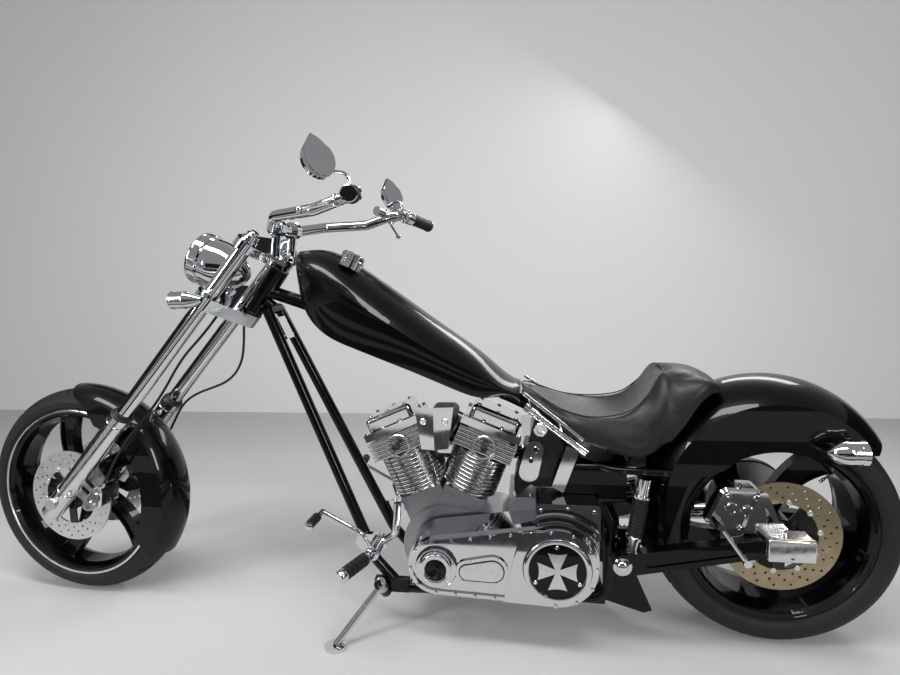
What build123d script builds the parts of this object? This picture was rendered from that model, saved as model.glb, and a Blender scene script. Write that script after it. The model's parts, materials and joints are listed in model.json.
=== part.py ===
"""A long, low V-twin chopper motorcycle, leaning on its side stand.

The machine is drawn upright: X runs rearward from the rear axle, Y to the rider's right and Z up
from the ground. At the end it is steered and leaned as it is parked, and set down with its origin
at the middle of its bounding box, on the ground. All lengths are millimetres, angles are degrees.
"""
from build123d import *
from math import atan2, cos, degrees, hypot, pi, radians, sin, tan
import os

# Stance
WHEELBASE = 2150.0
LEAN = 4.6
STEER_RIGHT = 3.4

# Wheels and tyres
FRONT_TYRE_RADIUS = 345.0
FRONT_TYRE_WIDTH = 118.0
FRONT_RIM_RADIUS = 282.0
REAR_TYRE_RADIUS = 325.0
REAR_TYRE_WIDTH = 230.0
REAR_RIM_RADIUS = 246.0
RIM_DEPTH = 24.0
BEAD_DEPTH = 8.0
SPOKES = 5
SPOKE_THICK = 34.0
SPOKE_TROUGH = 7.0
FRONT_SPOKE_TIP = 31.0
REAR_SPOKE_TIP = 44.0
FRONT_SPOKE_TURN = -97.0
REAR_SPOKE_TURN = -120.0
DISC_RADIUS = 150.0
DISC_INNER = 93.0
DISC_THICK = 5.0
DISC_HOLE = 7.0
FRONT_DISC_Y = 75.0
REAR_DISC_Y = 112.0
AXLE_DIAMETER = 25.0
HUB_RADIUS = 46.0
RUNNING_GAP = 0.4
SOFT_GAP = 0.3

# Fork, measured along the legs from the front axle
LEG_RAKE = 42.0
TREE_RAKE = 4.0
LEG_HALF_SPACING = 115.0
SLIDER_DIAMETER = 62.0
SLIDER_BELOW = 55.0
SLIDER_TOP = 380.0
TUBE_DIAMETER = 47.0
TUBE_TOP = 1084.0
LOWER_TREE_AT = 855.0
UPPER_TREE_AT = 1060.0
LOWER_TREE_THICK = 42.0
UPPER_TREE_THICK = 28.0
STEM_OFFSET = 85.0
STEM_DIAMETER = 30.0
NECK_DIAMETER = 62.0
NECK_BORE = STEM_DIAMETER + 2 * RUNNING_GAP
NECK_GAP = 7.0

# Handlebar, for a machine steered straight ahead
BAR_DIAMETER = 31.8
BAR_HEIGHT = 1184.0
BAR_X = -1378.0
BAR_END_X = -1022.0
BAR_END_Y = 385.0
BAR_END_Z = 1214.0
BAR_SWEEP = 18.0
BAR_DROOP = 8.0
BAR_STRAIGHT = 194.0
BAR_BEND = 36.0
RISER_HALF = 48.0
GRIP_DIAMETER = 36.0
GRIP_LENGTH = 122.0

# Frame tubes
BACKBONE_DIAMETER = 40.0
DOWNTUBE_DIAMETER = 32.0
STRUT_DIAMETER = 20.0
RAIL_HALF_SPACING = 105.0
RAIL_HEIGHT = 118.0
RAIL_FRONT_X = -1040.0
SWINGARM_DIAMETER = 34.0
SWINGARM_HALF = 173.0
PIVOT_X = -415.0
PIVOT_Z = 262.0

# Engine
CRANK_X = -910.0
CRANK_Z = 238.0
CYLINDER_ANGLE = 22.5
CYLINDER_FOOT = 176.0
BARREL_HEIGHT = 128.0
HEAD_HEIGHT = 66.0
ROCKER_HEIGHT = 62.0
FIN_DIAMETER = 174.0
HEAD_FIN_LONG = 176.0
HEAD_FIN_WIDE = 160.0
BORE_DIAMETER = 112.0
FIN_PITCH = 12.0
FIN_THICK = 4.0
CASE_HALF_WIDTH = 78.0
CLUTCH_X = -585.0
CLUTCH_Z = 262.0
CRANK_COVER_RADIUS = 82.0
CLUTCH_COVER_RADIUS = 112.0
PRIMARY_STEP = 14.0
PRIMARY_STEP_CUT = ((-655, 428), (-400, 428), (-400, 90), (-745, 90), (-709, 245))
STARTER_TOP = 432.0
PRIMARY_INNER_Y = 88.0
PRIMARY_OUTER_Y = 222.0

# Bodywork
FENDER_SKIN = 3.0
FRONT_FENDER_GAP = 14.0
FRONT_FENDER_HALF = 69.0
REAR_FENDER_X = -20.0
REAR_FENDER_Z = REAR_TYRE_RADIUS + 86
REAR_FENDER_RADIUS = REAR_TYRE_RADIUS + 5
REAR_FENDER_HALF = 124.0
REAR_FENDER_SKIRT = 160.0

FRONT_AXLE = Vector(-WHEELBASE, 0, FRONT_TYRE_RADIUS)
REAR_AXLE = Vector(0, 0, REAR_TYRE_RADIUS)
LEG_AXIS = Vector(sin(radians(LEG_RAKE)), 0, cos(radians(LEG_RAKE)))
FORK = Plane(origin=FRONT_AXLE, x_dir=(cos(radians(LEG_RAKE)), 0, -sin(radians(LEG_RAKE))), z_dir=LEG_AXIS)
STEER_RAKE = LEG_RAKE - TREE_RAKE
STEER_DIR = Vector(sin(radians(STEER_RAKE)), 0, cos(radians(STEER_RAKE)))
STEER_POINT = FORK.from_local_coords(Vector(STEM_OFFSET, 0, LOWER_TREE_AT))
SIDES = (-1, 1)


def tube(points, diameter, bend=60.0):
    """A round bar along straight runs joined by tangent bends."""
    if len(points) == 2:
        path = Line(*points)
    else:
        path = FilletPolyline(*points, radius=bend)
    section = Plane(origin=path @ 0, z_dir=path % 0) * Circle(diameter / 2)
    return sweep(section, path=path)


def rod(start, end, diameter):
    """A straight round bar between two points."""
    return tube([start, end], diameter)


def cross_rod(x, z, diameter, y0, y1):
    """A round bar lying across the machine."""
    return Pos(x, (y0 + y1) / 2, z) * Rot(90, 0, 0) * Cylinder(diameter / 2, abs(y1 - y0))


def block(x0, x1, y0, y1, z0, z1):
    """A plain block between two corners."""
    return Pos((x0 + x1) / 2, (y0 + y1) / 2, (z0 + z1) / 2) * Box(x1 - x0, y1 - y0, z1 - z0)


def side_plate(outline, y0, y1):
    """A flat plate with its outline given in x and z, from y0 to y1."""
    face = make_face(Polyline(*[(x, z) for x, z in outline], close=True))
    plane = Plane(origin=(0, y0, 0), x_dir=(1, 0, 0), z_dir=(0, -1, 0))
    return extrude(plane * face, amount=-(y1 - y0))


def side_hull(circles, y0, y1):
    """A plate whose outline wraps a row of circles (x, z, radius), from y0 to y1."""
    edges = [Pos(x, z) * CenterArc((0, 0), r, 0, 360) for x, z, r in circles]
    plane = Plane(origin=(0, y0, 0), x_dir=(1, 0, 0), z_dir=(0, -1, 0))
    return extrude(plane * make_hull(edges), amount=-(y1 - y0))


def both_sides(piece):
    """The piece and its mirror image on the other side of the machine."""
    return piece + mirror(piece, Plane.XZ)


# Wheels
def tyre(radius, width, rim_radius):
    """A closed tyre of three arcs: two sidewalls and the crown."""
    bead = rim_radius - BEAD_DEPTH
    half = width / 2
    shoulder = radius - (radius - rim_radius) * (0.30 if width < 2 * (radius - rim_radius) else 0.22)
    wide = (rim_radius + shoulder) / 2
    foot = half * 0.84
    edge = half * 0.80
    outline = (
        Line((bead, -foot), (rim_radius, -foot))
        + ThreePointArc((rim_radius, -foot), (wide, -half), (shoulder, -edge))
        + ThreePointArc((shoulder, -edge), (radius, 0), (shoulder, edge))
        + ThreePointArc((shoulder, edge), (wide, half), (rim_radius, foot))
        + Line((rim_radius, foot), (bead, foot))
        + Line((bead, foot), (bead, -foot))
    )
    return revolve(make_face(outline), Axis.Y)


def crown_drop(radius, width, rim_radius):
    """How far a leaned tyre's crown reaches below the ground line that it leans about."""
    sagitta = (radius - rim_radius) * (0.30 if width < 2 * (radius - rim_radius) else 0.22)
    chord = width / 2 * 0.80
    crown = (chord**2 + sagitta**2) / (2 * sagitta)
    return crown * (1 - cos(radians(LEAN)))


CROWN_DROP = crown_drop(REAR_TYRE_RADIUS, REAR_TYRE_WIDTH, REAR_RIM_RADIUS)


def spoke_face(reach, root, tip):
    """The outline of a swept spoke along x, from its half width at the root to that at the tip."""
    bow = reach * 0.16
    lift = bow * 0.4
    middle = (root + tip) * 0.42
    return make_face(
        ThreePointArc((0, root), (reach * 0.5, middle + bow), (reach, tip + lift))
        + Line((reach, tip + lift), (reach, -tip + lift))
        + ThreePointArc((reach, -tip + lift), (reach * 0.5, -middle + bow), (0, -root))
        + Line((0, -root), (0, root))
    )


def wheel(rim_radius, width, hub_half, spoke_tip, phase):
    """A rim, a hub and curved spokes, troughed on both faces, in one casting."""
    bead = rim_radius - BEAD_DEPTH
    inner = rim_radius - RIM_DEPTH
    foot = width / 2 * 0.84
    lip = foot + 5
    well = inner - 6
    outline = Polyline(
        (bead, -foot), (rim_radius, -foot), (rim_radius, -lip), (inner + 8, -lip), (inner + 2, -lip + 8),
        (well, -lip * 0.5), (well, lip * 0.5), (inner + 2, lip - 8), (inner + 8, lip), (rim_radius, lip),
        (rim_radius, foot), (bead, foot), close=True,
    )
    barrel = revolve(make_face(outline), Axis.Y)
    hub = cross_rod(0, 0, 2 * HUB_RADIUS, -hub_half, hub_half)
    hub -= cross_rod(0, 0, AXLE_DIAMETER + 2 * RUNNING_GAP, -hub_half - 1, hub_half + 1)
    reach = well + 3
    root = HUB_RADIUS * 0.55
    spoke = extrude(Plane.XZ * spoke_face(reach, root, spoke_tip), amount=SPOKE_THICK / 2, both=True)
    wall = 7.0
    channel = extrude(Plane.XZ * spoke_face(reach, root - wall, spoke_tip - wall), amount=SPOKE_TROUGH)
    channel &= cross_rod(0, 0, 2 * well - 24, -SPOKE_THICK, SPOKE_THICK)
    for side in SIDES:
        spoke -= Pos(0, side * SPOKE_THICK / 2 + (SPOKE_TROUGH if side < 0 else 0), 0) * channel
    spoke -= cross_rod(0, 0, 1.6 * HUB_RADIUS, -SPOKE_THICK, SPOKE_THICK)
    casting = barrel + hub
    for k in range(SPOKES):
        casting += Rot(0, phase + k * 360 / SPOKES, 0) * spoke
    return casting


# radius, holes in the ring, turn of the ring
DISC_HOLES = (
    (DISC_INNER + 15, 20, 0),
    (DISC_INNER + 29, 20, 7),
    (DISC_INNER + 44, 20, 13),
)


def brake_disc(y):
    """A drilled brake ring."""
    ring = Cylinder(DISC_RADIUS, DISC_THICK) - Cylinder(DISC_INNER, 2 * DISC_THICK)
    for radius, count, turn in DISC_HOLES:
        ring -= Rot(0, 0, turn) * PolarLocations(radius, count) * Cylinder(DISC_HOLE / 2, 2 * DISC_THICK)
    return Pos(0, y, 0) * Rot(90, 0, 0) * ring


def disc_carrier(y):
    """The five-armed carrier inside a brake ring."""
    carrier = cross_rod(0, 0, 1.7 * HUB_RADIUS, -DISC_THICK / 2, DISC_THICK / 2)
    for k in range(SPOKES):
        arm = block(HUB_RADIUS * 0.5, DISC_INNER + 20, -DISC_THICK / 2, DISC_THICK / 2, -13, 13)
        carrier += Rot(0, 90 + k * 360 / SPOKES, 0) * arm
    carrier &= cross_rod(0, 0, 2 * DISC_INNER, -DISC_THICK, DISC_THICK)
    return Pos(0, y, 0) * (carrier - cross_rod(0, 0, AXLE_DIAMETER + 10, -DISC_THICK, DISC_THICK))


# Fork: local x is rearward and down, z runs up the legs
def at_fork(piece):
    """Moves a piece drawn along the legs to its place on the machine."""
    return FORK.location * piece


def fork_tubes():
    foot = SLIDER_TOP - 70
    leg = Pos(0, -LEG_HALF_SPACING, (foot + TUBE_TOP) / 2) * Cylinder(TUBE_DIAMETER / 2, TUBE_TOP - foot)
    cap = Pos(0, -LEG_HALF_SPACING, TUBE_TOP + 5) * Cylinder(TUBE_DIAMETER / 2 - 4, 10)
    return both_sides(leg + cap)


def fork_sliders():
    height = SLIDER_TOP + SLIDER_BELOW
    body = Pos(0, 0, SLIDER_TOP - height / 2) * Cylinder(SLIDER_DIAMETER / 2, height)
    collar = Pos(0, 0, SLIDER_TOP - 9) * Cylinder(SLIDER_DIAMETER / 2 + 3, 18)
    bore = Pos(0, 0, SLIDER_TOP) * Cylinder(TUBE_DIAMETER / 2, 140)
    leg = body + collar - bore
    leg -= Rot(90, 0, 0) * Cylinder(AXLE_DIAMETER / 2, 200)
    return both_sides(Pos(0, -LEG_HALF_SPACING, 0) * leg)


def tree(at, thick, clamp_radius, stem_offset):
    """A clamp plate across both legs and the steering stem."""
    circles = [(0, -LEG_HALF_SPACING, clamp_radius), (0, LEG_HALF_SPACING, clamp_radius), (stem_offset, 0, 31)]
    edges = [Pos(x, y) * CenterArc((0, 0), r, 0, 360) for x, y, r in circles]
    plate = extrude(Plane.XY.offset(at - thick / 2) * make_hull(edges), amount=thick)
    for side in SIDES:
        plate -= Pos(0, side * LEG_HALF_SPACING, at) * Cylinder(TUBE_DIAMETER / 2, thick + 20)
    return plate


def stem():
    """The steering stem, along the steering axis from tree to tree."""
    length = (UPPER_TREE_AT - LOWER_TREE_AT) / cos(radians(TREE_RAKE))
    bar = Pos(0, 0, length / 2) * Cylinder(STEM_DIAMETER / 2, length)
    return Pos(STEM_OFFSET, 0, LOWER_TREE_AT) * Rot(0, -TREE_RAKE, 0) * bar


def triple_trees():
    upper_offset = STEM_OFFSET - (UPPER_TREE_AT - LOWER_TREE_AT) * tan(radians(TREE_RAKE))
    lower = tree(LOWER_TREE_AT, LOWER_TREE_THICK, 37, STEM_OFFSET)
    upper = tree(UPPER_TREE_AT, UPPER_TREE_THICK, 34, upper_offset)
    return lower + upper + stem()


def grip_axis(side):
    """The end of the bar and the unit vector back along it."""
    out = Vector(sin(radians(BAR_SWEEP)), side * cos(radians(BAR_SWEEP)), -tan(radians(BAR_DROOP))).normalized()
    return Vector(BAR_END_X, side * BAR_END_Y, BAR_END_Z), -out


def bar_points(side):
    """The corners of one half of the handlebar, from the clamp to the grip's end."""
    end, back = grip_axis(side)
    return [
        (BAR_X, side * (RISER_HALF + 30), BAR_HEIGHT),
        (BAR_X + 58, side * 166, BAR_HEIGHT + 18),
        (BAR_X + 188, side * 206, BAR_HEIGHT + 24),
        tuple(end + back * BAR_STRAIGHT),
        tuple(end),
    ]


def handlebar():
    bar = tube(list(reversed(bar_points(-1))) + bar_points(1), BAR_DIAMETER, BAR_BEND)
    top = FORK.from_local_coords(Vector(STEM_OFFSET - 28, 0, UPPER_TREE_AT + UPPER_TREE_THICK / 2))
    for side in SIDES:
        y = side * RISER_HALF
        clamp = cross_rod(BAR_X, BAR_HEIGHT, BAR_DIAMETER + 20, y - 14, y + 14)
        bar += clamp + rod((top.X, y, top.Z), (BAR_X, y, BAR_HEIGHT), 27)
    return bar


def grips():
    pieces = []
    for side in SIDES:
        end, back = grip_axis(side)
        outer = end - back * 3
        sleeve = rod(outer, end + back * GRIP_LENGTH, GRIP_DIAMETER)
        sleeve -= rod(end, end + back * (GRIP_LENGTH + 30), BAR_DIAMETER)
        pieces.append(sleeve)
    return Compound(children=pieces)


LEVER_FORWARD = Vector(-0.97, 0, -0.24)


def hand_controls():
    """A clamp, a switch housing and a lever at each grip, with the brake's reservoir on the right."""
    pieces = []
    for side in SIDES:
        end, back = grip_axis(side)
        inner = end + back * (GRIP_LENGTH + 1)
        housing = rod(inner, inner + back * 28, 46)
        clamp = rod(inner + back * 29, inner + back * 47, 40)
        perch = inner + back * 38
        root = perch + LEVER_FORWARD * 46
        tip = end + LEVER_FORWARD * 122 - back * 6
        knee = root + LEVER_FORWARD * 22 - back * 34
        arm = rod(perch, root + LEVER_FORWARD * 8, 22)
        lever = tube([root, knee, tip], 11, 30) + Pos(*tip) * Sphere(9)
        unit = housing + clamp + rod(inner + back * 20, inner + back * 36, 38) + arm + lever
        unit += rod(root - Vector(0, 0, 13), root + Vector(0, 0, 13), 20)
        if side > 0:
            cup = root + back * 26 + Vector(0, 0, 12)
            unit += rod(cup - back * 6, cup + back * 52, 30) + rod(root, cup, 20)
        unit -= rod(end, end + back * BAR_STRAIGHT, BAR_DIAMETER + 0.2)
        pieces.append(unit)
    return Compound(children=pieces)


MIRROR_LONG = 112.0
MIRROR_SHORT = 78.0
# side: the mirror's middle, and the way its glass faces
MIRRORS = (
    (-1, (-1128, -300, 1321), (0.72, -0.66, 0.2)),
    (1, (-1128, 300, 1321), (0.80, -0.55, 0.2)),
)


def mirrors():
    """Two glasses in pointed oval shells on bent stalks."""
    pieces = []
    for side, head, facing in MIRRORS:
        end, back = grip_axis(side)
        foot = end + back * (GRIP_LENGTH + 39) + Vector(-4, 0, 18)
        plane = Plane(origin=head, x_dir=(-0.3, 0, 1), z_dir=facing)
        half_long = MIRROR_LONG / 2
        half_short = MIRROR_SHORT / 2
        shoulder, waist = half_long * 0.3, half_short * 0.9
        outline = (
            ThreePointArc((-half_long, 0), (-half_long * 0.45, half_short), (shoulder, waist))
            + Line((shoulder, waist), (half_long, 0)) + Line((half_long, 0), (shoulder, -waist))
            + ThreePointArc((shoulder, -waist), (-half_long * 0.45, -half_short), (-half_long, 0))
        )
        shell = extrude(plane * make_face(outline), amount=-13)
        joint = plane.from_local_coords(Vector(-half_long * 0.5, 0, -16))
        stalk = tube([foot, foot + Vector(-6, side * 2, 34), joint], 9, 20)
        boss = rod(joint, plane.from_local_coords(Vector(-half_long * 0.5, 0, -8)), 20)
        pieces.append(stalk + boss + shell)
    return Compound(children=pieces)


LAMP_X = -1636.0
LAMP_Z = 1098.0
LAMP_DIAMETER = 160.0
LAMP_TILT = 22.0


def at_lamp(piece):
    """Puts a piece drawn on the lamp's axis, its glass towards -x, in its place."""
    return Pos(LAMP_X, 0, LAMP_Z) * Rot(0, LAMP_TILT, 0) * piece


def headlight():
    """A deep round shell behind a stepped rim, on a bracket up from the lower tree."""
    radius = LAMP_DIAMETER / 2
    profile = (
        Line((-26, 0), (-26, radius - 3)) + Line((-26, radius - 3), (-22, radius + 1))
        + Line((-22, radius + 1), (0, radius + 1)) + Line((0, radius + 1), (0, radius - 4))
        + Line((0, radius - 4), (24, radius - 4))
        + ThreePointArc((24, radius - 4), (96, radius * 0.72), (136, radius * 0.2))
        + Line((136, radius * 0.2), (136, 0)) + Line((136, 0), (-26, 0))
    )
    shell = revolve(make_face(profile), Axis.X)
    shell -= Pos(-20, 0, 0) * Rot(0, 90, 0) * Cylinder(radius - 9, 24)
    seat_point = FORK.from_local_coords(Vector(0, 0, LOWER_TREE_AT + LOWER_TREE_THICK / 2))
    foot = at_lamp(Pos(62, 0, -radius * 0.75)).position
    stalk = rod(seat_point, foot, 24)
    return at_lamp(shell) + (stalk - at_lamp(Pos(50, 0, 0) * Sphere(radius * 0.6)))


def headlight_lens():
    """A slightly domed glass inside the rim."""
    radius = LAMP_DIAMETER / 2 - 9
    profile = (
        Line((-8, 0), (-8, radius)) + Line((-8, radius), (-18, radius))
        + ThreePointArc((-18, radius), (-27, radius * 0.55), (-30, 6))
        + Line((-30, 6), (-30, 0)) + Line((-30, 0), (-8, 0))
    )
    return at_lamp(revolve(make_face(profile), Axis.X))


def front_signals():
    pieces = []
    trees = at_fork(triple_trees())
    for side in SIDES:
        foot = FORK.from_local_coords(Vector(0, side * (LEG_HALF_SPACING + 30), LOWER_TREE_AT))
        centre = Vector(foot.X - 10, side * (LEG_HALF_SPACING + 72), foot.Z + 2)
        stalk = rod(foot, centre, 14)
        profile = (
            Line((-42, 0), (-42, 24)) + Line((-42, 24), (-8, 24))
            + ThreePointArc((-8, 24), (30, 14), (44, 6)) + Line((44, 6), (44, 0)) + Line((44, 0), (-42, 0))
        )
        pod = Pos(*centre) * revolve(make_face(profile), Axis.X)
        pieces.append(pod + (stalk - trees))
    return Compound(children=pieces)


def fender_section(radius, half, side_radius, skin):
    """The skin of a fender across the wheel: a round crown and two flat sides, radius along x."""
    shoulder = radius - half * 0.45

    def outline(r, h, s):
        return (
            Line((side_radius, -h), (s, -h)) + ThreePointArc((s, -h), (r, 0), (s, h))
            + Line((s, h), (side_radius, h)) + Line((side_radius, h), (side_radius, -h))
        )
    return make_face(outline(radius, half, shoulder)) - make_face(outline(radius - skin, half - skin, shoulder))


def fender_ring(radius, half, side_radius, skin, start, sweep_angle):
    """Part of a ring over a wheel, from one angle up from the rear, turning towards the rear."""
    ring = revolve(fender_section(radius, half, side_radius, skin), Axis.Y, revolution_arc=sweep_angle)
    return Rot(0, -start, 0) * ring


def fender_skirt(radius, half, side_radius, skin, drop):
    """The straight front of a fender, down from the height of the ring's middle."""
    section = mirror(fender_section(radius, half, side_radius, skin), Plane.YZ)
    return extrude(section, amount=-drop, dir=(0, 0, 1))


def front_fender():
    radius = FRONT_TYRE_RADIUS + FRONT_FENDER_GAP + FENDER_SKIN
    ring = fender_ring(radius, FRONT_FENDER_HALF, 255, FENDER_SKIN, 92, 126)
    nose = side_plate([(-90, 400), (-90, 150), (110, 215), (68, 300), (0, 362), (0, 400)], -100, 100)
    return Pos(*FRONT_AXLE) * (ring - nose)


def front_fender_bosses():
    """Bosses on the sliders that carry the front fender."""
    pieces = []
    for side in SIDES:
        for up in (250.0, 330.0):
            start = FORK.from_local_coords(Vector(0, side * FRONT_FENDER_HALF, up))
            end = FORK.from_local_coords(Vector(0, side * (LEG_HALF_SPACING - SLIDER_DIAMETER / 2 + 2), up))
            pieces.append(rod(start, end, 18))
    return pieces


def front_calipers():
    """A rounded caliper behind each leg, carried by two lugs on the slider."""
    pieces = []
    for side in SIDES:
        inner = FRONT_DISC_Y - 26
        outer = LEG_HALF_SPACING + 10
        body = side_hull([(82, 58, 18), (98, 90, 22), (82, 122, 18)], inner, outer)
        body = chamfer(body.faces().sort_by(Axis.Y)[-1].edges(), 6)
        for z in (72, 108):
            body += cross_rod(94, z, 30, outer, outer + 4)
        reach = 2 * DISC_RADIUS + 12
        half_slot = DISC_THICK / 2 + PAD_GAP
        slot = cross_rod(0, 0, reach, FRONT_DISC_Y - half_slot, FRONT_DISC_Y + half_slot)
        lugs = block(20, 74, LEG_HALF_SPACING - 8, outer - 4, 60, 76)
        lugs += block(20, 74, LEG_HALF_SPACING - 8, outer - 4, 104, 120)
        piece = body + lugs - slot - Pos(0, LEG_HALF_SPACING, 60) * Cylinder(SLIDER_DIAMETER / 2, 400)
        pieces.append(piece if side > 0 else mirror(piece, Plane.XZ))
    return Compound(children=pieces)


HOSE_DIAMETER = 8.0
# points along the fork, from the lower tree to a caliper: x, out from the middle, up the legs
HOSE_ROUTES = (
    (-1, (
        (30, 62, 833.6), (29, 59, 776), (24, 54, 712), (17, 53, 648), (22, 57, 584), (36, 66, 520), (47, 80, 458),
        (50, 94, 400), (52, 104, 340), (58, 109, 284), (66, 112, 230), (76, 111, 182), (82, 110, 140),
    )),
    (1, (
        (30, 78, 831.6), (52, 79, 790), (92, 80, 740), (122, 82, 690), (132, 84, 640), (124, 86, 590), (98, 88, 540),
        (70, 93, 492), (49, 100, 442), (42, 106, 392), (50, 110, 336), (60, 112, 280), (70, 113, 226), (78, 112, 180),
        (82, 110, 140),
    )),
)


def bend_radii(points):
    """The largest tangent arc at each corner, 0.45 of the shorter run beside it."""
    corners = [Vector(*point) for point in points]
    radii = []
    for a, b, c in zip(corners, corners[1:], corners[2:]):
        turn = radians((b - a).get_angle(c - b))
        radii.append(0.45 * min((b - a).length, (c - b).length) / tan(turn / 2))
    return radii


def brake_hose(side, route):
    """A hose clipped down the fork, from the lower tree to its caliper."""
    points = [tuple(FORK.from_local_coords(Vector(x, side * y, z))) for x, y, z in route]
    radii = bend_radii(points)
    print("hose", side, "radii", [round(r) for r in radii])
    path = FilletPolyline(*points, radius=radii)
    hose = sweep(Plane(origin=path @ 0, z_dir=path % 0) * Circle(HOSE_DIAMETER / 2), path=path)
    filled = hose.volume / (path.length * pi * HOSE_DIAMETER**2 / 4)
    print("hose length", round(path.length, 1), "share of its round section filled", round(filled, 4))
    return hose


def front_axle():
    half = LEG_HALF_SPACING + SLIDER_DIAMETER / 2
    bar = cross_rod(0, 0, AXLE_DIAMETER, -half - 6, half + 6)
    for side in SIDES:
        bar += cross_rod(0, 0, 36, side * half, side * (half + 12))
        gap = FRONT_DISC_Y + DISC_THICK / 2 + RUNNING_GAP
        bar += cross_rod(0, 0, 36, side * gap, side * (LEG_HALF_SPACING - SLIDER_DIAMETER / 2 + 3))
    return bar


# Frame
def neck_tube():
    spread = (UPPER_TREE_AT - LOWER_TREE_AT) / cos(radians(TREE_RAKE))
    length = spread - LOWER_TREE_THICK / 2 - UPPER_TREE_THICK / 2 - 2 * NECK_GAP
    start = LOWER_TREE_THICK / 2 + NECK_GAP
    solid = Pos(0, 0, start + length / 2) * (Cylinder(NECK_DIAMETER / 2, length) - Cylinder(NECK_BORE / 2, length + 2))
    return FORK.location * (Pos(STEM_OFFSET, 0, LOWER_TREE_AT) * (Rot(0, -TREE_RAKE, 0) * solid))


TUNNEL_WIDTH = BACKBONE_DIAMETER + 6
BACKBONE_START = Vector(-1440, 0, 1000)
BACKBONE_END = Vector(-620, 0, 634)


def backbone_bar(diameter):
    return tube([BACKBONE_START, (-1330, 0, 962), BACKBONE_END], diameter, 200)


def frame_backbone():
    bar = backbone_bar(BACKBONE_DIAMETER) + cross_rod(BACKBONE_END.X, BACKBONE_END.Z, 34, -88, 88)
    for x in (-1250, -800):
        z = BACKBONE_END.Z + (x - BACKBONE_END.X) * (962 - BACKBONE_END.Z) / (-1330 - BACKBONE_END.X)
        bar += cross_rod(x, z, 20, -TUNNEL_WIDTH / 2, TUNNEL_WIDTH / 2)
    core = rod(STEER_POINT, STEER_POINT + STEER_DIR * 200, NECK_DIAMETER - 4)
    return neck_tube() + (bar - core)


DOWNTUBE_TOP = Vector(-1432, 40, 945)
DOWNTUBE_KNEE = Vector(-1112, RAIL_HALF_SPACING, 200)


def downtube_at(z):
    """The middle of the right downtube at a height above its knee."""
    run = DOWNTUBE_KNEE - DOWNTUBE_TOP
    return DOWNTUBE_TOP + run * ((z - DOWNTUBE_TOP.Z) / run.Z)


def frame_downtubes():
    """Two tubes down from the neck that spread to the lower rails."""
    neck = rod(STEER_POINT, STEER_POINT + STEER_DIR * 200, NECK_BORE + 6)
    top = DOWNTUBE_TOP
    foot = (RAIL_FRONT_X, RAIL_HALF_SPACING, RAIL_HEIGHT)
    leg = tube([tuple(top), tuple(DOWNTUBE_KNEE), foot], DOWNTUBE_DIAMETER, 60)
    pair = leg + mirror(leg, Plane.XZ)
    pair += rod((top.X, -top.Y, top.Z), tuple(top), DOWNTUBE_DIAMETER)
    pair += rod((top.X, 0, top.Z), STEER_POINT + STEER_DIR * 70, 44)
    return pair - frame_backbone() - neck


def fender_struts():
    """The stays that carry the rear fender at its sides."""
    y = REAR_FENDER_HALF + STRUT_DIAMETER / 2
    high = REAR_FENDER_Z + 89
    stay = tube([(-528, 84, high + 16), (-430, y, high + 5), (-285, y, high)], STRUT_DIAMETER, 50)
    return both_sides(stay)


def frame_lower_rails():
    frame = None
    for side in SIDES:
        y = side * RAIL_HALF_SPACING
        path = [
            (RAIL_FRONT_X, y, RAIL_HEIGHT), (-440, y, RAIL_HEIGHT), (-430, y, 330), (-540, side * 80, 540),
            (-600, side * 80, 628),
        ]
        rail = tube(path, DOWNTUBE_DIAMETER, 55)
        frame = rail if frame is None else frame + rail
    for x in (-1000, -820, -640, -470):
        frame += block(x - 22, x + 22, -RAIL_HALF_SPACING, RAIL_HALF_SPACING, RAIL_HEIGHT - 20, RAIL_HEIGHT - 8)
    for side in SIDES:
        y = side * RAIL_HALF_SPACING
        plate = [(-455, 330), (-385, 330), (-380, 230), (-322, 92), (-345, 84), (-455, 118)]
        frame += side_plate(plate, y - 8, y + 8)
    frame += fender_struts()
    frame -= cross_rod(PIVOT_X, PIVOT_Z, 22, -200, 200)
    return frame - frame_backbone()


AXLE_BOX_FRONT = -66.0
AXLE_BOX_BACK = 45.0
AXLE_BOX_LOW = -21.0
AXLE_BOX_HIGH = 37.0
AXLE_BOX_OUT = 22.0
AXLE_BOX_IN = 20.0


def swingarm():
    """Two arms that taper to the axle boxes, on a cross tube at the pivot."""
    pieces = cross_rod(PIVOT_X, PIVOT_Z, 22, -SWINGARM_HALF, SWINGARM_HALF)
    half = SWINGARM_DIAMETER / 2
    pivot = (PIVOT_X, PIVOT_Z, 30)
    wrist = (AXLE_BOX_FRONT - 10, REAR_TYRE_RADIUS, 24)
    for side in SIDES:
        y = side * SWINGARM_HALF
        arm = side_hull([pivot, wrist], y - half, y + half)
        recess = [(PIVOT_X + 70, PIVOT_Z + 13, 14), (wrist[0] - 50, wrist[1] - 9, 11)]
        arm -= side_hull(recess, *sorted((side * (SWINGARM_HALF + half - 5), side * (SWINGARM_HALF + half + 1))))
        bottom, top = REAR_TYRE_RADIUS - 14, REAR_TYRE_RADIUS + 18
        tongue = block(AXLE_BOX_FRONT - 10, AXLE_BOX_BACK - 12, y - half + 4, y + half - 4, bottom, top)
        pieces += arm + tongue
    return pieces - Pos(*REAR_AXLE) * cross_rod(0, 0, AXLE_DIAMETER, -220, 220)


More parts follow.
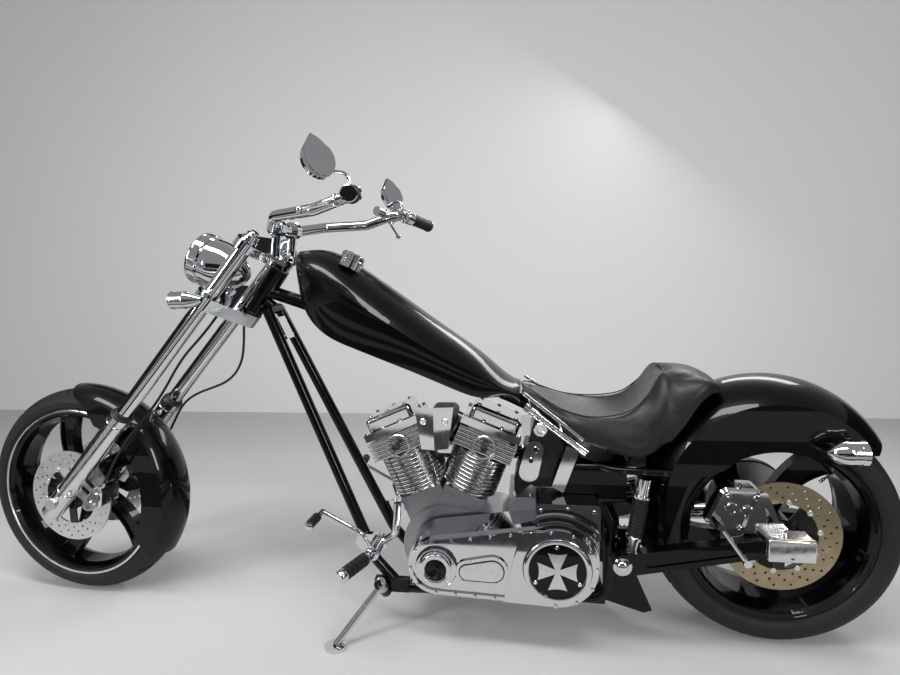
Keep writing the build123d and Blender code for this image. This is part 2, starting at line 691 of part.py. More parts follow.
def axle_boxes():
    """Bright blocks that close over the swingarm's ends, each with an adjuster behind it."""
    pieces = []
    arms = swingarm()
    for side in SIDES:
        ends = sorted((side * (SWINGARM_HALF - AXLE_BOX_IN), side * (SWINGARM_HALF + AXLE_BOX_OUT)))
        low, high = REAR_TYRE_RADIUS + AXLE_BOX_LOW, REAR_TYRE_RADIUS + AXLE_BOX_HIGH
        box = block(AXLE_BOX_FRONT, AXLE_BOX_BACK, *ends, low, high)
        box = fillet(box.edges().filter_by(Axis.Y), 9)
        top = rod((-18, side * SWINGARM_HALF, high), (-18, side * SWINGARM_HALF, high + 9), 22)
        middle = (low + high) / 2
        back = (AXLE_BOX_BACK, side * SWINGARM_HALF, middle)
        adjuster = rod(back, (AXLE_BOX_BACK + 14, *back[1:]), 12)
        box += top + adjuster
        bore = Pos(*REAR_AXLE) * cross_rod(0, 0, AXLE_DIAMETER, -220, 220)
        pieces.append(box - arms - bore)
    return Compound(children=pieces)


def rear_axle():
    half = SWINGARM_HALF + AXLE_BOX_OUT
    inner = SWINGARM_HALF - AXLE_BOX_IN
    bar = cross_rod(0, 0, AXLE_DIAMETER, -half - 4, half + 4)
    bar += cross_rod(0, 0, 38, PULLEY_Y + BELT_WIDTH - 12 + RUNNING_GAP, inner)
    bar += cross_rod(0, 0, 38, -REAR_DISC_Y - DISC_THICK / 2 - RUNNING_GAP, -inner)
    for side in SIDES:
        bar += cross_rod(0, 0, 40, side * half, side * (half + 14))
    return Pos(*REAR_AXLE) * bar


# Engine
def cylinder_frame(angle):
    """Local z runs up the cylinder from the crank; positive angles lean rearward."""
    return Location((CRANK_X, 0, CRANK_Z), (0, angle, 0))


def crankcase():
    case = side_hull([(CRANK_X, CRANK_Z, 122), (CRANK_X + 150, CRANK_Z + 10, 95)], -CASE_HALF_WIDTH, CASE_HALF_WIDTH)
    for angle in (-CYLINDER_ANGLE, CYLINDER_ANGLE):
        deck = Pos(0, 0, CYLINDER_FOOT / 2) * Box(130, 2 * CASE_HALF_WIDTH - 14, CYLINDER_FOOT)
        case += cylinder_frame(angle) * deck
    case &= block(-1300, -600, -CASE_HALF_WIDTH, CASE_HALF_WIDTH, RAIL_HEIGHT - 8, 600)
    case += cross_rod(CRANK_X, CRANK_Z, 180, CASE_HALF_WIDTH, CASE_HALF_WIDTH + 42)
    return case


def cylinders():
    """Two barrels and heads with their cooling fins."""
    pieces = []
    for angle in (-CYLINDER_ANGLE, CYLINDER_ANGLE):
        top = CYLINDER_FOOT + BARREL_HEIGHT
        unit = Pos(0, 0, (CYLINDER_FOOT + top) / 2) * Cylinder(BORE_DIAMETER / 2 + 8, BARREL_HEIGHT)
        for k in range(int((BARREL_HEIGHT - 8) / FIN_PITCH)):
            unit += Pos(0, 0, CYLINDER_FOOT + 12 + k * FIN_PITCH) * Cylinder(FIN_DIAMETER / 2, FIN_THICK)
        unit += Pos(0, 0, top + HEAD_HEIGHT / 2) * Box(128, 128, HEAD_HEIGHT)
        for k in range(int((HEAD_HEIGHT - 6) / FIN_PITCH)):
            fin = Box(HEAD_FIN_LONG, HEAD_FIN_WIDE, FIN_THICK)
            unit += Pos(0, 0, top + 6 + k * FIN_PITCH) * fin
        pieces.append(cylinder_frame(angle) * unit)
    front = pieces[0] - block(CRANK_X - 2, CRANK_X + 400, -200, 200, CRANK_Z, 900)
    rear = pieces[1] - block(CRANK_X - 400, CRANK_X + 2, -200, 200, CRANK_Z, 900)
    return Compound(children=[front, rear])


def rocker_boxes():
    pieces = []
    for angle in (-CYLINDER_ANGLE, CYLINDER_ANGLE):
        foot = CYLINDER_FOOT + BARREL_HEIGHT + HEAD_HEIGHT
        lower = Pos(0, 0, foot + 11) * Box(180, 140, 22)
        upper = Pos(0, 0, foot + 22 + (ROCKER_HEIGHT - 22) / 2) * Box(150, 116, ROCKER_HEIGHT - 22)
        upper = fillet(upper.edges().filter_by(Axis.Z) + upper.faces().sort_by(Axis.Z)[-1].edges(), 14)
        pieces.append(cylinder_frame(angle) * (lower + upper))
    return Compound(children=pieces)


PRIMARY_OUTLINE = (
    (CRANK_X, CRANK_Z + 8, CRANK_COVER_RADIUS),
    (CLUTCH_X, CLUTCH_Z, CLUTCH_COVER_RADIUS),
)
WINDOW_MIDDLE = (-782, 240)
WINDOW_HALF_LONG = 42.0
WINDOW_RADIUS = 34.0
# radius, width and height of the arcs that stand on the starter's housing
STARTER_RIBS = (
    (118, 7, 7),
    (140, 7, 7),
)


def starter_box(gap, proud=0.0):
    """The block of the starter's housing, wider by a gap."""
    outer = -PRIMARY_OUTER_Y + 24 - proud - gap
    return block(-640 - gap, -472 + gap, outer, -PRIMARY_INNER_Y + gap, 330 - gap, STARTER_TOP + gap)


def primary_cover():
    """The chain's case: a flat front, a raised rear round the clutch and the starter's housing above it."""
    inner = side_hull(PRIMARY_OUTLINE, -PRIMARY_OUTER_Y + 30, -PRIMARY_INNER_Y)
    rim = [(x, z, r - 6) for x, z, r in PRIMARY_OUTLINE]
    front_face = -PRIMARY_OUTER_Y + PRIMARY_STEP
    outer = side_hull(rim, front_face, -PRIMARY_OUTER_Y + 30)
    raised = side_hull(rim, -PRIMARY_OUTER_Y, front_face)
    raised &= side_plate(PRIMARY_STEP_CUT, -PRIMARY_OUTER_Y - 5, front_face + 5)
    lip = side_hull([(x, z, r - 4) for x, z, r in PRIMARY_OUTLINE], front_face - 6, front_face)
    lip -= side_hull([(x, z, r - 14) for x, z, r in PRIMARY_OUTLINE], front_face - 7, front_face + 1)
    cover = inner + outer + raised + lip
    x, z = WINDOW_MIDDLE
    ends = [(x - WINDOW_HALF_LONG, z - 3, WINDOW_RADIUS), (x + WINDOW_HALF_LONG - 16, z + 3, WINDOW_RADIUS + 8)]
    plate = side_hull(ends, front_face - 7, front_face)
    plate -= side_hull([(a, b, r - 9) for a, b, r in ends], front_face - 8, front_face - 3)
    cover += plate
    housing = fillet(starter_box(0).edges().filter_by(Axis.Y), 12)
    clutch_round = 2 * CLUTCH_COVER_RADIUS - 20
    cover += housing - cross_rod(CLUTCH_X, CLUTCH_Z, clutch_round, -PRIMARY_OUTER_Y - 1, -PRIMARY_INNER_Y + 1)
    for radius, wide, high in STARTER_RIBS:
        face = -PRIMARY_OUTER_Y + 24
        rib = cross_rod(CLUTCH_X, CLUTCH_Z, 2 * radius + wide, face - high, face)
        rib -= cross_rod(CLUTCH_X, CLUTCH_Z, 2 * radius - wide, face - high - 1, face + 1)
        cover += rib & starter_box(0, high)
    cover += cross_rod(CRANK_X, CRANK_Z, 150, -PRIMARY_INNER_Y, -CASE_HALF_WIDTH)
    return cover - frame_lower_rails()


CAP_SCREWS = 3
CROSS_ARM = 52.0


def cross_pattee(arm, thick):
    """Four arms that widen from the middle, with gently hollow ends, facing -y."""
    inner = arm * 0.13
    outer = arm * 0.62
    quarter = make_face(
        Line((inner, inner), (arm, outer)) + ThreePointArc((arm, outer), (arm * 0.9, 0), (arm, -outer))
        + Line((arm, -outer), (inner, -inner)) + Line((inner, -inner), (inner, inner))
    )
    shape = extrude(Plane.XZ * Pos(0, 0) * Rectangle(2 * inner, 2 * inner), amount=thick)
    for k in range(4):
        shape += extrude(Plane.XZ * Rot(0, 0, 90 * k) * quarter, amount=thick)
    return shape


def primary_caps():
    """The clutch's cover with its cross and screws, and the round cover over the crank's end."""
    face = -PRIMARY_OUTER_Y
    clutch = cross_rod(CLUTCH_X, CLUTCH_Z, 176, face - 6, face)
    ring = cross_rod(CLUTCH_X, CLUTCH_Z, 176, face - 11, face - 6) - cross_rod(CLUTCH_X, CLUTCH_Z, 150, face - 12, face - 5)
    clutch += ring + Pos(CLUTCH_X, face - 6, CLUTCH_Z) * cross_pattee(CROSS_ARM, 5)
    for k in range(CAP_SCREWS):
        angle = radians(90 + k * 360 / CAP_SCREWS)
        x = CLUTCH_X + 66 * cos(angle)
        z = CLUTCH_Z + 66 * sin(angle)
        clutch += cross_rod(x, z, 12, face - 10, face - 6)
    flat = face + PRIMARY_STEP
    front = cross_rod(CRANK_X, CRANK_Z + 8, 112, flat - 14, flat)
    front += cross_rod(CRANK_X, CRANK_Z + 8, 84, flat - 20, flat - 14)
    front -= cross_rod(CRANK_X, CRANK_Z + 8, 60, flat - 21, flat - 13)
    return Compound(children=[clutch, front])


def transmission():
    box = block(-716, -462, -PRIMARY_INNER_Y, 84, RAIL_HEIGHT - 8, 400)
    box -= cross_rod(CRANK_X + 150, CRANK_Z + 10, 190, -200, 200)
    box -= frame_lower_rails()
    shaft = cross_rod(CLUTCH_X, CLUTCH_Z, 50, 84, PULLEY_Y)
    return box + shaft


PULLEY_Y = 125.0
BELT_WIDTH = 26.0
REAR_PULLEY_RADIUS = 118.0
FRONT_PULLEY_RADIUS = 52.0


def front_pulley():
    return cross_rod(CLUTCH_X, CLUTCH_Z, 2 * FRONT_PULLEY_RADIUS, PULLEY_Y, PULLEY_Y + BELT_WIDTH)


def drive_belt():
    """A toothed belt drawn as a smooth loop, just clear of the turning pulley."""
    gap = RUNNING_GAP
    rear = (0, REAR_TYRE_RADIUS, REAR_PULLEY_RADIUS + gap)
    front = (CLUTCH_X, CLUTCH_Z, FRONT_PULLEY_RADIUS)
    outer = side_hull([(x, z, r + 5) for x, z, r in (rear, front)], PULLEY_Y + 1, PULLEY_Y + BELT_WIDTH - 1)
    inner = side_hull([rear, front], PULLEY_Y, PULLEY_Y + BELT_WIDTH)
    return outer - inner


def rear_pulley():
    disc = cross_rod(0, 0, 2 * REAR_PULLEY_RADIUS, PULLEY_Y, PULLEY_Y + BELT_WIDTH)
    disc -= cross_rod(0, 0, 2 * REAR_PULLEY_RADIUS - 26, PULLEY_Y + 8, PULLEY_Y + BELT_WIDTH + 1)
    hub = cross_rod(0, 0, 84, REAR_DISC_Y - DISC_THICK / 2, PULLEY_Y + BELT_WIDTH - 12)
    return disc + hub - cross_rod(0, 0, AXLE_DIAMETER + 2 * RUNNING_GAP, 0, 300)


# Bodywork
def dome_section(x, half, top, shoulder, bottom, foot):
    """A section across the machine: a round top, two round sides and a flat bottom."""
    side = (half + foot) / 2 + half * 0.04
    outline = (
        ThreePointArc((-half, shoulder), (0, top), (half, shoulder))
        + ThreePointArc((half, shoulder), (side, (shoulder + bottom) / 2), (foot, bottom))
        + Line((foot, bottom), (-foot, bottom))
        + ThreePointArc((-foot, bottom), (-side, (shoulder + bottom) / 2), (-half, shoulder))
    )
    plane = Plane(origin=(x, 0, 0), x_dir=(0, 1, 0), z_dir=(1, 0, 0))
    return plane * make_face(outline)


# x, half width, top, shoulder, bottom, half width at the bottom
TANK_SECTIONS = (
    (-1336, 34, 1110, 1092, 1052, 24),
    (-1318, 70, 1119, 1080, 985, 54),
    (-1285, 98, 1121, 1062, 925, 80),
    (-1230, 120, 1113, 1034, 876, 100),
    (-1150, 135, 1067, 985, 840, 114),
    (-1060, 138, 1003, 926, 804, 116),
    (-960, 133, 929, 858, 762, 111),
    (-860, 120, 856, 796, 716, 101),
    (-770, 103, 786, 745, 690, 89),
    (-680, 84, 720, 702, 672, 74),
)
# x, half width at the crisp edge, height there, dip between the edges, widest half, bottom, half at the bottom
SEAT_FRONT = (
    (-676, 40, 713, 2, 50, 690, 46),
    (-643, 54, 703, 4, 80, 660, 74),
    (-592, 92, 674, 9, 122, 628, 112),
    (-542, 116, 655, 13, 142, 592, 132),
    (-475, 130, 646, 17, 154, 560, 140),
    (-386, 112, 658, 17, 155, 540, 142),
    (-346, 94, 691, 13, 151, 543, 140),
    (-286, 66, 762, 2, 143, 580, 136),
)
SEAT_REAR = (
    (-286, 66, 762, -2, 143, 580, 136),
    (-250, 76, 758, -7, 140, 624, 134),
    (-208, 84, 750, -9, 136, 686, 130),
    (-152, 80, 722, -9, 100, 702, 94),
)


def saddle_section(x, edge, edge_z, dip, half, bottom, foot):
    """A section of the seat: a dipped top between two crisp edges, two round sides and a flat bottom."""
    middle = (edge_z + bottom) / 2
    outline = (
        ThreePointArc((-edge, edge_z), (0, edge_z - dip), (edge, edge_z))
        + ThreePointArc((edge, edge_z), (half, middle), (foot, bottom))
        + Line((foot, bottom), (-foot, bottom))
        + ThreePointArc((-foot, bottom), (-half, middle), (-edge, edge_z))
    )
    plane = Plane(origin=(x, 0, 0), x_dir=(0, 1, 0), z_dir=(1, 0, 0))
    return plane * make_face(outline)


def tank_tunnel():
    """The space under the tank for the backbone, open below."""
    outline = [(-1430, 1000), (-1330, 962), (BACKBONE_END.X, BACKBONE_END.Z), (BACKBONE_END.X, 400), (-1430, 400)]
    return backbone_bar(TUNNEL_WIDTH) + side_plate(outline, -TUNNEL_WIDTH / 2, TUNNEL_WIDTH / 2)


def fuel_tank():
    tank = loft([dome_section(*row) for row in TANK_SECTIONS])
    return tank - tank_tunnel()


CAP_X = -1160.0
CAP_Y = -46.0


def fuel_cap():
    cap = Pos(CAP_X, CAP_Y, 1080) * Rot(-14, 24, 0) * Cylinder(33, 40)
    return cap - fuel_tank()


def rear_fender_envelope(gap):
    """All that lies under the rear fender's skin, out to a gap beyond it."""
    radius = REAR_FENDER_RADIUS + gap
    half = REAR_FENDER_HALF + gap
    shoulder = REAR_FENDER_RADIUS - REAR_FENDER_HALF * 0.45 + gap
    outline = (
        Line((0, -half), (shoulder, -half)) + ThreePointArc((shoulder, -half), (radius, 0), (shoulder, half))
        + Line((shoulder, half), (0, half)) + Line((0, half), (0, -half))
    )
    return Pos(REAR_FENDER_X, 0, REAR_FENDER_Z) * revolve(make_face(outline), Axis.Y)


def seat():
    pad = loft([saddle_section(*row) for row in SEAT_FRONT])
    pad += loft([saddle_section(*row) for row in SEAT_REAR])
    pad -= rear_fender_envelope(SOFT_GAP)
    pad -= backbone_bar(BACKBONE_DIAMETER + 2 * SOFT_GAP)
    pad -= cross_rod(BACKBONE_END.X, BACKBONE_END.Z, 34 + 2 * SOFT_GAP, -89, 89)
    pad -= frame_lower_rails()
    return pad - fuel_tank()


def rear_fender():
    ring = fender_ring(REAR_FENDER_RADIUS, REAR_FENDER_HALF, 150, FENDER_SKIN, 180, 149)
    skirt = fender_skirt(REAR_FENDER_RADIUS, REAR_FENDER_HALF, 150, FENDER_SKIN, REAR_FENDER_SKIRT)
    below = [(440, 145), (-75, 141), (-130, 95), (-216, 63), (-286, -161), (-286, -480), (440, -480)]
    return Pos(REAR_FENDER_X, 0, REAR_FENDER_Z) * (ring + skirt - side_plate(below, -200, 200))


LAMP_POD_X = REAR_FENDER_X + 132
LAMP_POD_Z = REAR_FENDER_Z + 165
LAMP_POD_Y = REAR_FENDER_HALF + 46


def rear_lamps():
    pods = []
    lenses = []
    for side in SIDES:
        centre = Vector(LAMP_POD_X, side * LAMP_POD_Y, LAMP_POD_Z)
        profile = (
            Line((-42, 0), (-42, 0.1)) + ThreePointArc((-42, 0.1), (-22, 22), (14, 30))
            + Line((14, 30), (34, 30)) + Line((34, 30), (34, 0)) + Line((34, 0), (-42, 0))
        )
        pod = Pos(*centre) * revolve(make_face(profile), Axis.X)
        stalk = cross_rod(LAMP_POD_X, LAMP_POD_Z, 16, side * REAR_FENDER_HALF, side * LAMP_POD_Y)
        pods.append(pod + stalk)
        lens = Pos(*centre) * Pos(40, 0, 0) * Rot(0, 90, 0) * Cylinder(27, 12)
        lenses.append(lens)
    return Compound(children=pods), Compound(children=lenses)


def oil_tank():
    tank = block(-566, -396, -128, 128, 400, 520)
    tank = fillet(tank.edges().filter_by(Axis.X), 22)
    tank -= block(-600, -300, -86, 86, 380, 430) + starter_box(2)
    return tank - frame_lower_rails() - rear_fender_envelope(2)


def coil_bracket():
    plate = side_plate([(-640, 632), (-604, 632), (-560, 560), (-640, 458), (-684, 458)], -112, -104)
    rail = rod((-664, -112, 676), (-500, -126, 552), 14)
    arm = rod((-622, -70, BACKBONE_END.Z - 22), (-622, -106, BACKBONE_END.Z - 22), 20)
    return plate + rail + arm - frame_backbone() - frame_lower_rails()


def rear_damper():
    body = rod((-390, 8 - SWINGARM_HALF, 276), (-354, -150, 490), 36)
    return body - swingarm() - fender_struts()


CALIPER_IN = 22.0
CALIPER_OUT = 40.0
PAD_GAP = 5.5


def rear_caliper():
    """A caliper over the disc's front edge, on a slotted bracket from the axle, with its torque rod."""
    inner, outer = -REAR_DISC_Y + CALIPER_IN, -REAR_DISC_Y - CALIPER_OUT
    corners = [(-183, 55, 16), (-148, 125, 20), (-82, 122, 22), (-64, 66, 20), (-128, 26, 18)]
    body = side_hull(corners, outer, inner)
    body = chamfer(body.faces().sort_by(Axis.Y)[0].edges(), 7)
    for x, z in ((-138, 92), (-100, 84)):
        body += cross_rod(x, z, 34, outer - 4, outer)
    rim = cross_rod(0, 0, 600, -REAR_DISC_Y - 9, -60) - cross_rod(0, 0, 2 * REAR_RIM_RADIUS - 100, -200, 0)
    half_slot = DISC_THICK / 2 + PAD_GAP
    slot = cross_rod(0, 0, 2 * DISC_RADIUS + 10, -REAR_DISC_Y - half_slot, -REAR_DISC_Y + half_slot)
    bracket = side_hull([(-64, 128, 12), (-30, 44, 12), (-96, 40, 12)], outer - 9, outer)
    bracket += side_hull([(-40, 60, 16), (-14, AXLE_BOX_HIGH + 4, 10)], outer - 9, outer)
    window = side_hull([(-62, 92, 7), (-46, 62, 7)], outer - 10, outer + 1)
    unit = body + bracket - window - rim - slot
    y = -SWINGARM_HALF - SWINGARM_DIAMETER / 2 - 8
    torque = rod((-180, y, 66), (-112, y, -32), 12)
    torque += cross_rod(-178, 63, 20, y - 8, outer + 1) + cross_rod(-112, -32, 20, y - 8, y + 24)
    return Pos(*REAR_AXLE) * (unit + torque) - swingarm() - axle_boxes()


def exhaust_pipes():
    # start x, y, z at the head, knee, rear end
    runs = (
        [(-1110, 20, 520), (-1160, 110, 500), (-1040, 206, 330), (-960, 222, 205), (-60, 222, 236)],
        [(-700, 20, 500), (-640, 120, 490), (-590, 222, 350), (-460, 222, 310), (-60, 222, 318)],
    )
    return Compound(children=[tube(run, 45, 48) - cylinders() for run in runs])


def air_cleaner():
    body = cross_rod(-910, 520, 150, 96, 150)
    neck = cross_rod(-910, 520, 44, 20, 96)
    manifold = block(-960, -860, -18, 24, 502, 538)
    return body + neck + (manifold - cylinders())


V_COVER_BACK = -HEAD_FIN_WIDE / 2 - RUNNING_GAP
V_COVER_EDGE = 10.0
V_COVER_RIDGE = 24.0
V_COVER_OUTLINE = ((-980, 656), (-868, 660), (-886, 541), (-964, 539))


def v_cover():
    """A creased shield between the cylinders on the left, on two bosses."""
    left, right = V_COVER_OUTLINE[0][0], V_COVER_OUTLINE[1][0]
    middle = (left + right) / 2
    crease = make_face(Polyline(
        (left, V_COVER_BACK), (left, V_COVER_BACK - V_COVER_EDGE), (middle, V_COVER_BACK - V_COVER_RIDGE),
        (right, V_COVER_BACK - V_COVER_EDGE), (right, V_COVER_BACK), close=True,
    ))
    shield = extrude(Pos(0, 0, 500) * crease, amount=200)
    shield &= side_plate(V_COVER_OUTLINE, V_COVER_BACK - V_COVER_RIDGE - 5, V_COVER_BACK + 5)
    for x in (left + 24, right - 24):
        shield += cross_rod(x, 622, 14, V_COVER_BACK - 1, V_COVER_BACK + 40)
    return shield - cylinders() - rocker_boxes()


PUSHROD_DIAMETER = 17.0


def pushrod_tubes():
    """Four tubes from the tappet blocks on the right up to the heads, and the cam's round cover."""
    cover = cross_rod(CRANK_X, CRANK_Z + 26, 170, CASE_HALF_WIDTH, CASE_HALF_WIDTH + 34)
    cam_chest = [
        (CRANK_X, CRANK_Z + 30, 60), (CRANK_X - 52, CRANK_Z + 110, 34), (CRANK_X + 52, CRANK_Z + 110, 34),
    ]
    cover += side_hull(cam_chest, CASE_HALF_WIDTH, CASE_HALF_WIDTH + 28)
    top = CYLINDER_FOOT + BARREL_HEIGHT + HEAD_HEIGHT
    for angle in (-CYLINDER_ANGLE, CYLINDER_ANGLE):
        for shift in (-16, 18):
            foot = cylinder_frame(angle) * Pos(shift * 0.7, CASE_HALF_WIDTH + 16, 104)
            head = cylinder_frame(angle) * Pos(shift * 1.8, HEAD_FIN_WIDE / 2 + 10, top - 10)
            cover += rod(foot.position, head.position, PUSHROD_DIAMETER)
            end = cylinder_frame(angle) * Pos(shift * 1.8, HEAD_FIN_WIDE / 2 - 1, top - 10)
            cover += rod(end.position, head.position, PUSHROD_DIAMETER)
    return cover - crankcase() - cylinders()


def foot_controls(y):
    """Peg, toe lever and post of one side, y being -1 for the left."""
    tube_middle = downtube_at(262)
    inner, outer = tube_middle.Y + 8, tube_middle.Y + 26
    post = rod((-1098, y * inner, 262), (-1098, y * 190, 262), 40)
    arm = tube([(-1098, y * 176, 262), (-1122, y * 190, 322), (-1236, y * 190, 384)], 14, 30)
    toe = rod((-1236, y * 188, 384), (-1246, y * 270, 378), 16)
    peg = rod((-1098, y * 186, 262), (-1150, y * 318, 262), 26)
    bracket = tube([(-1096, y * (inner + 8), 258), (-1040, y * 136, 300), (-1030, y * 136, 392)], 22, 30)
    base = side_hull([(tube_middle.X, 262, 26), (-1098, 262, 26)], *sorted((y * inner, y * outer)))
    return (post + arm + toe + peg + bracket + base) - frame_downtubes()


STAND_HINGE = Vector(-1088, -146, 142)
STAND_FOOT = Vector(-1192, -262, 262 * tan(radians(LEAN)) + 9 - CROWN_DROP)
STAND_STOWED = Vector(0.98, -0.18, 0.03)
STAND_AXIS = (STAND_FOOT - STAND_HINGE).cross(STAND_STOWED).normalized()
STAND_EYE = 26.0
STAND_PIN = 14.0


def stand_bracket():
    inner, outer = -RAIL_HALF_SPACING + 3, -RAIL_HALF_SPACING - 19
    base = block(RAIL_FRONT_X - 74, RAIL_FRONT_X + 28, outer, inner, RAIL_HEIGHT - 9, RAIL_HEIGHT + 31)
    reach = STAND_AXIS * (STAND_EYE / 2 + RUNNING_GAP)
    base -= rod(STAND_HINGE - reach, STAND_HINGE + reach, 38)
    boss = rod(STAND_HINGE - STAND_AXIS * 44, STAND_HINGE - reach, 36)
    pin = rod(STAND_HINGE - STAND_AXIS * 30, STAND_HINGE + STAND_AXIS * (STAND_EYE / 2 + 6), STAND_PIN)
    return base + boss + pin


def side_stand():
    """A leg with an eye on the pin and a foot that lies flat on the ground."""
    eye = rod(STAND_HINGE - STAND_AXIS * (STAND_EYE / 2), STAND_HINGE + STAND_AXIS * (STAND_EYE / 2), 36)
    leg = rod(STAND_HINGE, STAND_FOOT, 20)
    foot = Pos(*STAND_FOOT) * Rot(-LEAN, 0, 0) * Pos(0, 0, -4) * Cylinder(30, 10)
    bore = rod(STAND_HINGE - STAND_AXIS * 60, STAND_HINGE + STAND_AXIS * 60, STAND_PIN + 2 * RUNNING_GAP)
    return eye + leg + foot - bore


REGULATOR_Z = 884.0
REGULATOR_WIDE = 50.0
REGULATOR_TALL = 72.0
REGULATOR_FINS = 6


def regulator():
    """A finned block carried between the downtubes on two bars."""
    middle = downtube_at(REGULATOR_Z)
    lean = degrees(atan2(DOWNTUBE_TOP.X - DOWNTUBE_KNEE.X, DOWNTUBE_TOP.Z - DOWNTUBE_KNEE.Z))
    piece = Pos(6, 0, 0) * Box(12, REGULATOR_WIDE, REGULATOR_TALL)
    pitch = REGULATOR_TALL / REGULATOR_FINS
    for k in range(REGULATOR_FINS):
        piece += Pos(-12, 0, (k + 0.5) * pitch - REGULATOR_TALL / 2) * Box(24, REGULATOR_WIDE, 5)
    for up in (-1, 1):
        piece += cross_rod(6, up * 24, 10, -middle.Y, middle.Y)
    return Pos(middle.X, 0, middle.Z) * Rot(0, lean, 0) * piece - frame_downtubes()


def build_nodes():
    """Every node of the machine, upright and steered straight ahead, by body."""
    pods, lenses = rear_lamps()
    bosses = front_fender_bosses()
    trees = at_fork(triple_trees())
    bar = handlebar() - trees
    controls = hand_controls() - bar
    pipes = exhaust_pipes()
    primary = primary_cover()
    saddle = seat()
    sliders = at_fork(fork_sliders())
    for boss in bosses:
        sliders += boss
    sliders -= front_fender()
    axle = Pos(*FRONT_AXLE) * front_axle()
    sliders -= axle
    backbone = frame_backbone()
    downtubes = frame_downtubes()
    lower_rails = frame_lower_rails() + stand_bracket() - downtubes
    frame = {
        "frame_backbone": backbone,
        "frame_downtubes": downtubes,
        "frame_lower_rails": lower_rails,
        "swingarm": swingarm(),
        "axle_boxes": axle_boxes(),
        "regulator": regulator(),
        "crankcase": crankcase(),
        "cylinders": cylinders(),
        "rocker_boxes": rocker_boxes(),
        "pushrod_tubes": pushrod_tubes(),
        "v_cover": v_cover(),
        "primary_cover": primary,
        "primary_caps": primary_caps() - primary,
        "transmission": transmission(),
        "front_pulley": front_pulley(),
        "drive_belt": drive_belt(),
        "fuel_tank": fuel_tank() - backbone,
        "fuel_cap": fuel_cap(),
        "seat": saddle,
        "oil_tank": oil_tank(),
        "coil_bracket": coil_bracket() - saddle,
        "rear_damper": rear_damper(),
        "rear_fender": rear_fender(),
        "rear_lamp_pods": pods,
        "rear_lamp_lenses": lenses,
        "rear_caliper": rear_caliper(),
        "rear_axle": rear_axle(),
        "exhaust_pipes": pipes,
        "air_cleaner": air_cleaner(),
        "left_foot_controls": foot_controls(-1),
        "right_foot_controls": foot_controls(1) - pipes,
    }
    fork = {
        "fork_tubes": at_fork(fork_tubes()),
        "fork_sliders": sliders,
        "triple_trees": trees,
        "handlebar": bar,
        "grips": grips(),
        "hand_controls": controls,
        "mirrors": mirrors() - controls,
        "headlight": headlight() - trees,
        "headlight_lens": headlight_lens(),
        "front_signals": front_signals(),
        "front_fender": front_fender(),
        "front_calipers": at_fork(front_calipers()),
        "front_axle": axle,
        "left_brake_hose": brake_hose(*HOSE_ROUTES[0]),
        "right_brake_hose": brake_hose(*HOSE_ROUTES[1]),
    }
    front_wheel = {
        "front_tyre": Pos(*FRONT_AXLE) * tyre(FRONT_TYRE_RADIUS, FRONT_TYRE_WIDTH, FRONT_RIM_RADIUS),
        "front_rim": Pos(*FRONT_AXLE) * wheel(
            FRONT_RIM_RADIUS, FRONT_TYRE_WIDTH, FRONT_DISC_Y - DISC_THICK / 2, FRONT_SPOKE_TIP, FRONT_SPOKE_TURN,
        ),
        "front_disc_carriers": Pos(*FRONT_AXLE) * both_sides(disc_carrier(-FRONT_DISC_Y)),
        "front_discs": Pos(*FRONT_AXLE) * both_sides(brake_disc(-FRONT_DISC_Y)),
    }
    rear_wheel = {
        "rear_tyre": Pos(*REAR_AXLE) * tyre(REAR_TYRE_RADIUS, REAR_TYRE_WIDTH, REAR_RIM_RADIUS),
        "rear_rim": Pos(*REAR_AXLE) * wheel(
            REAR_RIM_RADIUS, REAR_TYRE_WIDTH, REAR_DISC_Y - DISC_THICK / 2, REAR_SPOKE_TIP, REAR_SPOKE_TURN,
        ),
        "rear_disc_carrier": Pos(*REAR_AXLE) * disc_carrier(-REAR_DISC_Y),
        "rear_disc": Pos(*REAR_AXLE) * brake_disc(-REAR_DISC_Y),
        "rear_pulley": Pos(*REAR_AXLE) * rear_pulley(),
    }
    stand = {"side_stand": side_stand()}
    return {"frame": frame, "fork": fork, "front_wheel": front_wheel, "rear_wheel": rear_wheel, "side_stand": stand}


STEERED_BODIES = ("fork", "front_wheel")


def parked(piece, body):
    """Steers what turns with the fork, then leans the piece to the left."""
    if body in STEERED_BODIES:
        piece = piece.rotate(Axis(STEER_POINT, STEER_DIR), -STEER_RIGHT)
    return piece.rotate(Axis.X, LEAN)


def build():
    """Every node as it is parked, with the origin under the middle of the whole."""
    posed = {}
    for body, nodes in build_nodes().items():
        for name, piece in nodes.items():
            posed[name] = parked(piece, body)
    boxes = [piece.bounding_box() for piece in posed.values()]
    low = [min(getattr(box.min, k) for box in boxes) for k in "XYZ"]
    high = [max(getattr(box.max, k) for box in boxes) for k in "XYZ"]
    origin = Vector((low[0] + high[0]) / 2, (low[1] + high[1]) / 2, low[2])
    return {name: Pos(*(-origin)) * piece for name, piece in posed.items()}, origin


def main():
    os.makedirs("parts", exist_ok=True)
    nodes, origin = build()
    print("origin of the parked machine", [round(v, 3) for v in origin])
    for name, piece in nodes.items():
        export_step(piece, f"parts/{name}.step")


if __name__ == "__main__":
    main()
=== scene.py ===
"""Dresses a parked chopper motorcycle: its finishes, its seat and its small parts.

Pieces are drawn in millimetres in a local space of the machine, the fork or a wheel, and are then
set down in the frame in metres. In the machine's space x runs rearward from the rear axle, y to
the rider's right and z up from the ground, with the machine upright. STRAIGHT is the same space
for what turns with the fork, drawn as if it were steered straight ahead.
"""

import json
from math import atan2, cos, hypot, pi, radians, sin, tan

import bmesh
import bpy
from bpy.props import FloatProperty, FloatVectorProperty, IntProperty, PointerProperty
from mathutils import Matrix, Vector


